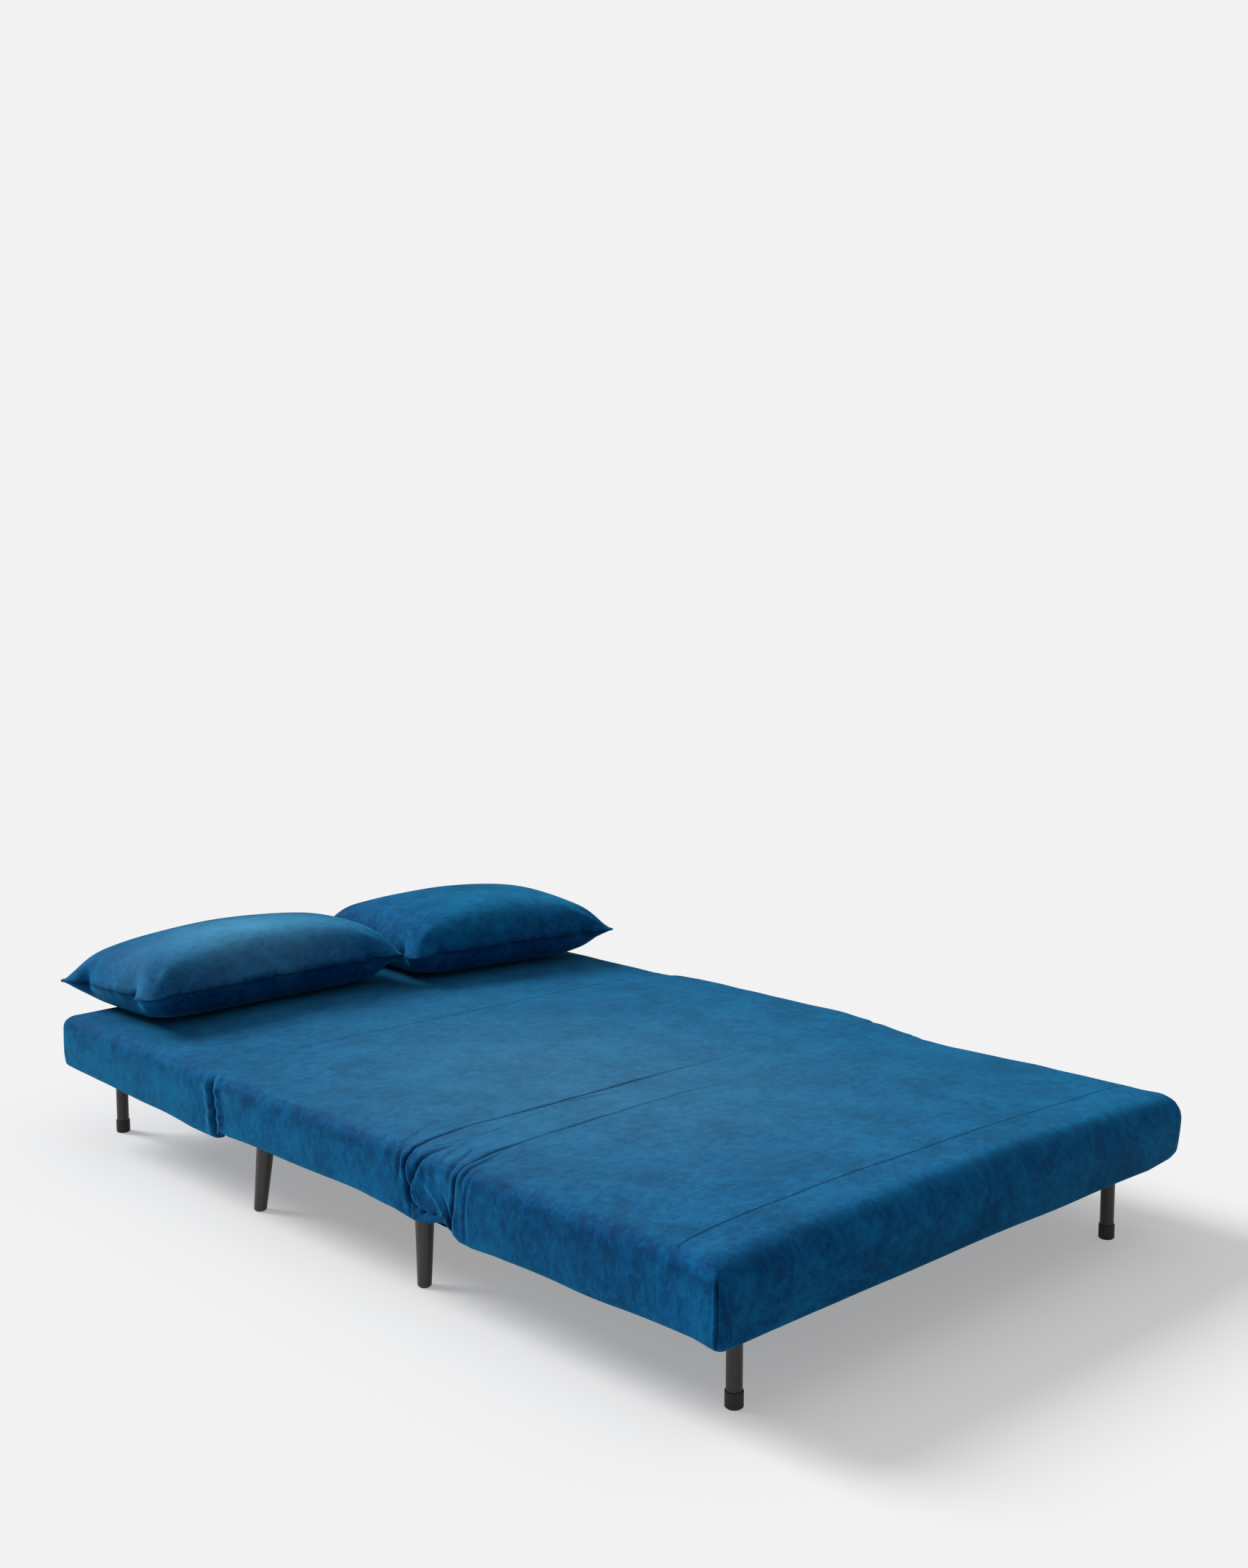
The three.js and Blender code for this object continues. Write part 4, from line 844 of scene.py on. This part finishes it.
def relaxed(points, quads, fixed, rounds):
    """Each free point moves halfway to the mean of its neighbours, as many times as rounds."""
    here, neighbour = quads.ravel(), np.roll(quads, -1, axis=1).ravel()
    count = np.maximum(np.bincount(here, minlength=len(points)), 1)
    for _ in range(rounds):
        total = np.stack([np.bincount(here, points[neighbour, axis], len(points)) for axis in range(3)], -1)
        moved = (points + total / count[:, None]) / 2
        points = np.where(fixed[:, None], points, moved)
    return points


def bed_top(x, y):
    """Height at which a pillow lies: 1.5 mm over the settled crown of the covers."""
    return settle(np.column_stack([x, y, crown(x)]))[:, 2] + 0.0015


def seam_roll(rim):
    """The turned seam along the rim, as points and faces: a round roll half a radius out from it,
    rim + r ((0.5 + cos a) outward + sin a up)."""
    along = np.roll(rim, -1, axis=0) - np.roll(rim, 1, axis=0)
    outward = np.column_stack([along[:, 1], -along[:, 0], along[:, 2] * 0])
    outward /= np.linalg.norm(outward, axis=1, keepdims=True)
    angle = np.linspace(0, 2 * math.pi, 7)[None, :-1, None]
    round_it = np.cos(angle) * outward[:, None, :] + np.sin(angle) * np.array([0, 0, 1.0])
    points = (rim + outward * seam_radius * 0.5)[:, None, :] + seam_radius * round_it
    index = np.arange(points.shape[0] * points.shape[1]).reshape(points.shape[:2])
    closed = np.pad(index, ((0, 1), (0, 1)), mode="wrap")
    return points.reshape(-1, 3), grid_quads(closed)


def between(corners, s, t):
    """The place at shares s and t from -1 to 1 of four corners: the sum of each of them times its
    (1 +- t)(1 +- s) / 4."""
    shares = np.stack([(1 - t) * (1 + s), (1 + t) * (1 + s), (1 - t) * (1 - s), (1 + t) * (1 - s)], -1) / 4
    return (shares @ np.array(corners)).T


def resting(x, y, rim_height, above):
    """Height of a filled panel that stands this far above its rim. The belly below it, d deep,
    flattens on the bed to d / (1 + (d / room)^4)^(1/4)."""
    depth = np.clip(-above * 1.15, 0, None)
    room = np.maximum(rim_height - bed_top(x, y), 0.01)
    flattened = depth / (1 + (depth / room) ** 4) ** 0.25
    return np.where(above > 0, rim_height + above, rim_height - flattened)


def hold_rim(piece, on_rim):
    """Marks the edges that run from rim point to rim point, so that smoothing leaves them sharp."""
    ends = np.zeros(len(piece.data.edges) * 2, int)
    piece.data.edges.foreach_get("vertices", ends)
    mark(piece, "crease_edge", on_rim[ends.reshape(-1, 2)].all(axis=1), "EDGE")


def pillow(side, corners, cut_deep, cut_long, brushed_up_and_lit):
    """Fills the panels and lays them between four corner places: head left, head right, foot left
    and foot right. A point at a share of the filling's greatest height comes rise share^p away
    from the rim, with p from 0.78 at the inner end, which is fuller, to 0.98 at the outer end.
    Puckers fan out from each corner: 0.003 sin(9 angle) bell(distance - 0.06, 0.035)."""
    points, quads, loop = pillow_panels(cut_deep, cut_long, 0.06)
    fixed = np.isin(np.arange(len(points)), loop)
    flat = add_mesh("pillow_panels", points, quads)
    points = relaxed(filled(flat, 24), quads, fixed, 10)
    bpy.data.objects.remove(flat)
    corner_numbers = loop[[0, round(cut_long / cell), round(cut_long / cell) + round(cut_deep / cell)]]
    half_long = np.abs(points[corner_numbers, 0]).mean()
    half_deep = np.abs(points[corner_numbers, 1]).mean()
    t, s = points[:, 0] / half_long, points[:, 1] / half_deep
    x, y, rim_height = between(corners, s, t)
    rise = pillow_top - np.mean(corners, axis=0)[2]
    share = points[:, 2] / points[:, 2].max()
    outer = t if side == "right" else -t
    above = rise * np.sign(share) * np.abs(share) ** (0.88 + 0.10 * np.clip(outer, -1, 1))
    z = resting(x, y, rim_height, above)
    laid = relaxed(np.column_stack([x, y, z]), quads, fixed, 6)
    below = taper(-above, 0, 0.02)[:, None]
    laid = laid * (1 - below) + relaxed(laid, quads, fixed, 30) * below
    in_deep, in_long = (1 - np.abs(s)) * half_deep, (1 - np.abs(t)) * half_long
    fan = np.sin(9 * np.arctan2(in_deep, in_long) + np.sign(t) + 2 * np.sign(s))
    laid[:, 2] += 0.0030 * fan * bell(np.hypot(in_deep, in_long) - 0.060, 0.035) * np.sign(above)
    # Paler middle front of each upper panel: partly pile brushed up, partly painted light on a dim slope.
    nap = brushed_up_and_lit * bell(t + 0.05, 0.75) * bell(s + 0.35, 0.62) * (above > 0)
    roll_points, roll_quads = seam_roll(laid[loop])
    # Painted shade along the rim, and darker over the seam roll.
    shade = np.concatenate([fixed * 0.45, np.full(len(roll_points), 0.9)])
    all_points = np.vstack([laid, roll_points])
    all_quads = np.vstack([quads, roll_quads + len(laid)])
    piece = add_mesh(f"pillow_{side}_velvet", all_points, all_quads, shade)
    mark(piece, "nap", np.concatenate([nap, np.zeros(len(roll_points))]))
    hold_rim(piece, np.append(fixed, np.zeros(len(roll_points), bool)))
    smooth = piece.modifiers.new("smooth", "SUBSURF")
    smooth.levels = smooth.render_levels = 1
    piece.data.materials.append(pillow_velvets[side])
    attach(piece, f"pillow_{side}")
    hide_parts(f"pillow_{side}")


pillow("left", cut_deep=0.43, cut_long=0.67, brushed_up_and_lit=0.85, corners=[
    (-0.550, 0.991, 0.318), (0.066, 0.984, 0.318), (-0.553, 0.617, 0.338), (0.061, 0.607, 0.340)])
pillow("right", cut_deep=0.45, cut_long=0.59, brushed_up_and_lit=0.25, corners=[
    (0.086, 0.958, 0.342), (0.622, 0.905, 0.339), (0.066, 0.563, 0.338), (0.606, 0.507, 0.334)])


# Studio: a pale seamless floor under soft light from behind the head end, not part of the object.
# What the camera and reflections see of floor and sky is paler than what lights the object.
backdrop = (0.896, 0.896, 0.896)
floor_white = (0.905, 0.905, 0.905)
floor_grey = (0.70, 0.70, 0.70)
floor_lift = 0.38
sky_overhead = 0.80


def studio_floor():
    """Matt floor, grey to the light and white to the eye, with a share of backdrop colour laid over it."""
    finish = Finish("studio_floor")
    seen = finish.seen()
    matt = finish.node("ShaderNodeBsdfDiffuse", None, {"Color": finish.mix(seen, floor_grey, floor_white)})
    lifted = finish.node("ShaderNodeEmission", None, {"Color": backdrop})
    both = finish.node("ShaderNodeMixShader", None, {0: seen * floor_lift, 1: matt, 2: lifted})
    finish.node("ShaderNodeOutputMaterial", None, {"Surface": both})
    return finish.owner


def studio_sky(world):
    """Light as bright as sky_overhead times the squared height of its direction, and the backdrop's
    colour to the eye."""
    finish = Finish("studio", world)
    way = finish.node("ShaderNodeTexCoord", output="Generated")
    upward = finish.node("ShaderNodeSeparateXYZ", None, {0: way}, "Z")
    above_floor = finish.node("ShaderNodeMath", {"operation": "MAXIMUM"}, {0: upward, 1: 0.0})
    brightness = above_floor ** 2 * sky_overhead
    light = finish.node("ShaderNodeBackground", None, {"Color": (1.0, 1.0, 1.0), "Strength": brightness})
    shown = finish.node("ShaderNodeBackground", None, {"Color": backdrop})
    both = finish.node("ShaderNodeMixShader", None, {0: finish.seen(), 1: light, 2: shown})
    finish.node("ShaderNodeOutputWorld", None, {"Surface": both})
    return finish.owner


floor_corners = np.array([[-60.0, -60, 0], [60, -60, 0], [60, 60, 0], [-60, 60, 0]])
floor = add_mesh("floor", floor_corners, np.array([[0, 1, 2, 3]]))
floor.data.materials.append(studio_floor())

sun_data = bpy.data.lights.new("key_light", "SUN")
sun_data.energy = 3.00
sun_data.angle = math.radians(26)
sun = bpy.data.objects.new("key_light", sun_data)
sun.rotation_euler = Vector((0.5, -1.2, -1.0)).to_track_quat("-Z", "Y").to_euler()
bpy.context.scene.collection.objects.link(sun)

bpy.context.scene.world = studio_sky(bpy.data.worlds.new("studio"))
bpy.context.scene.view_settings.view_transform = "Standard"
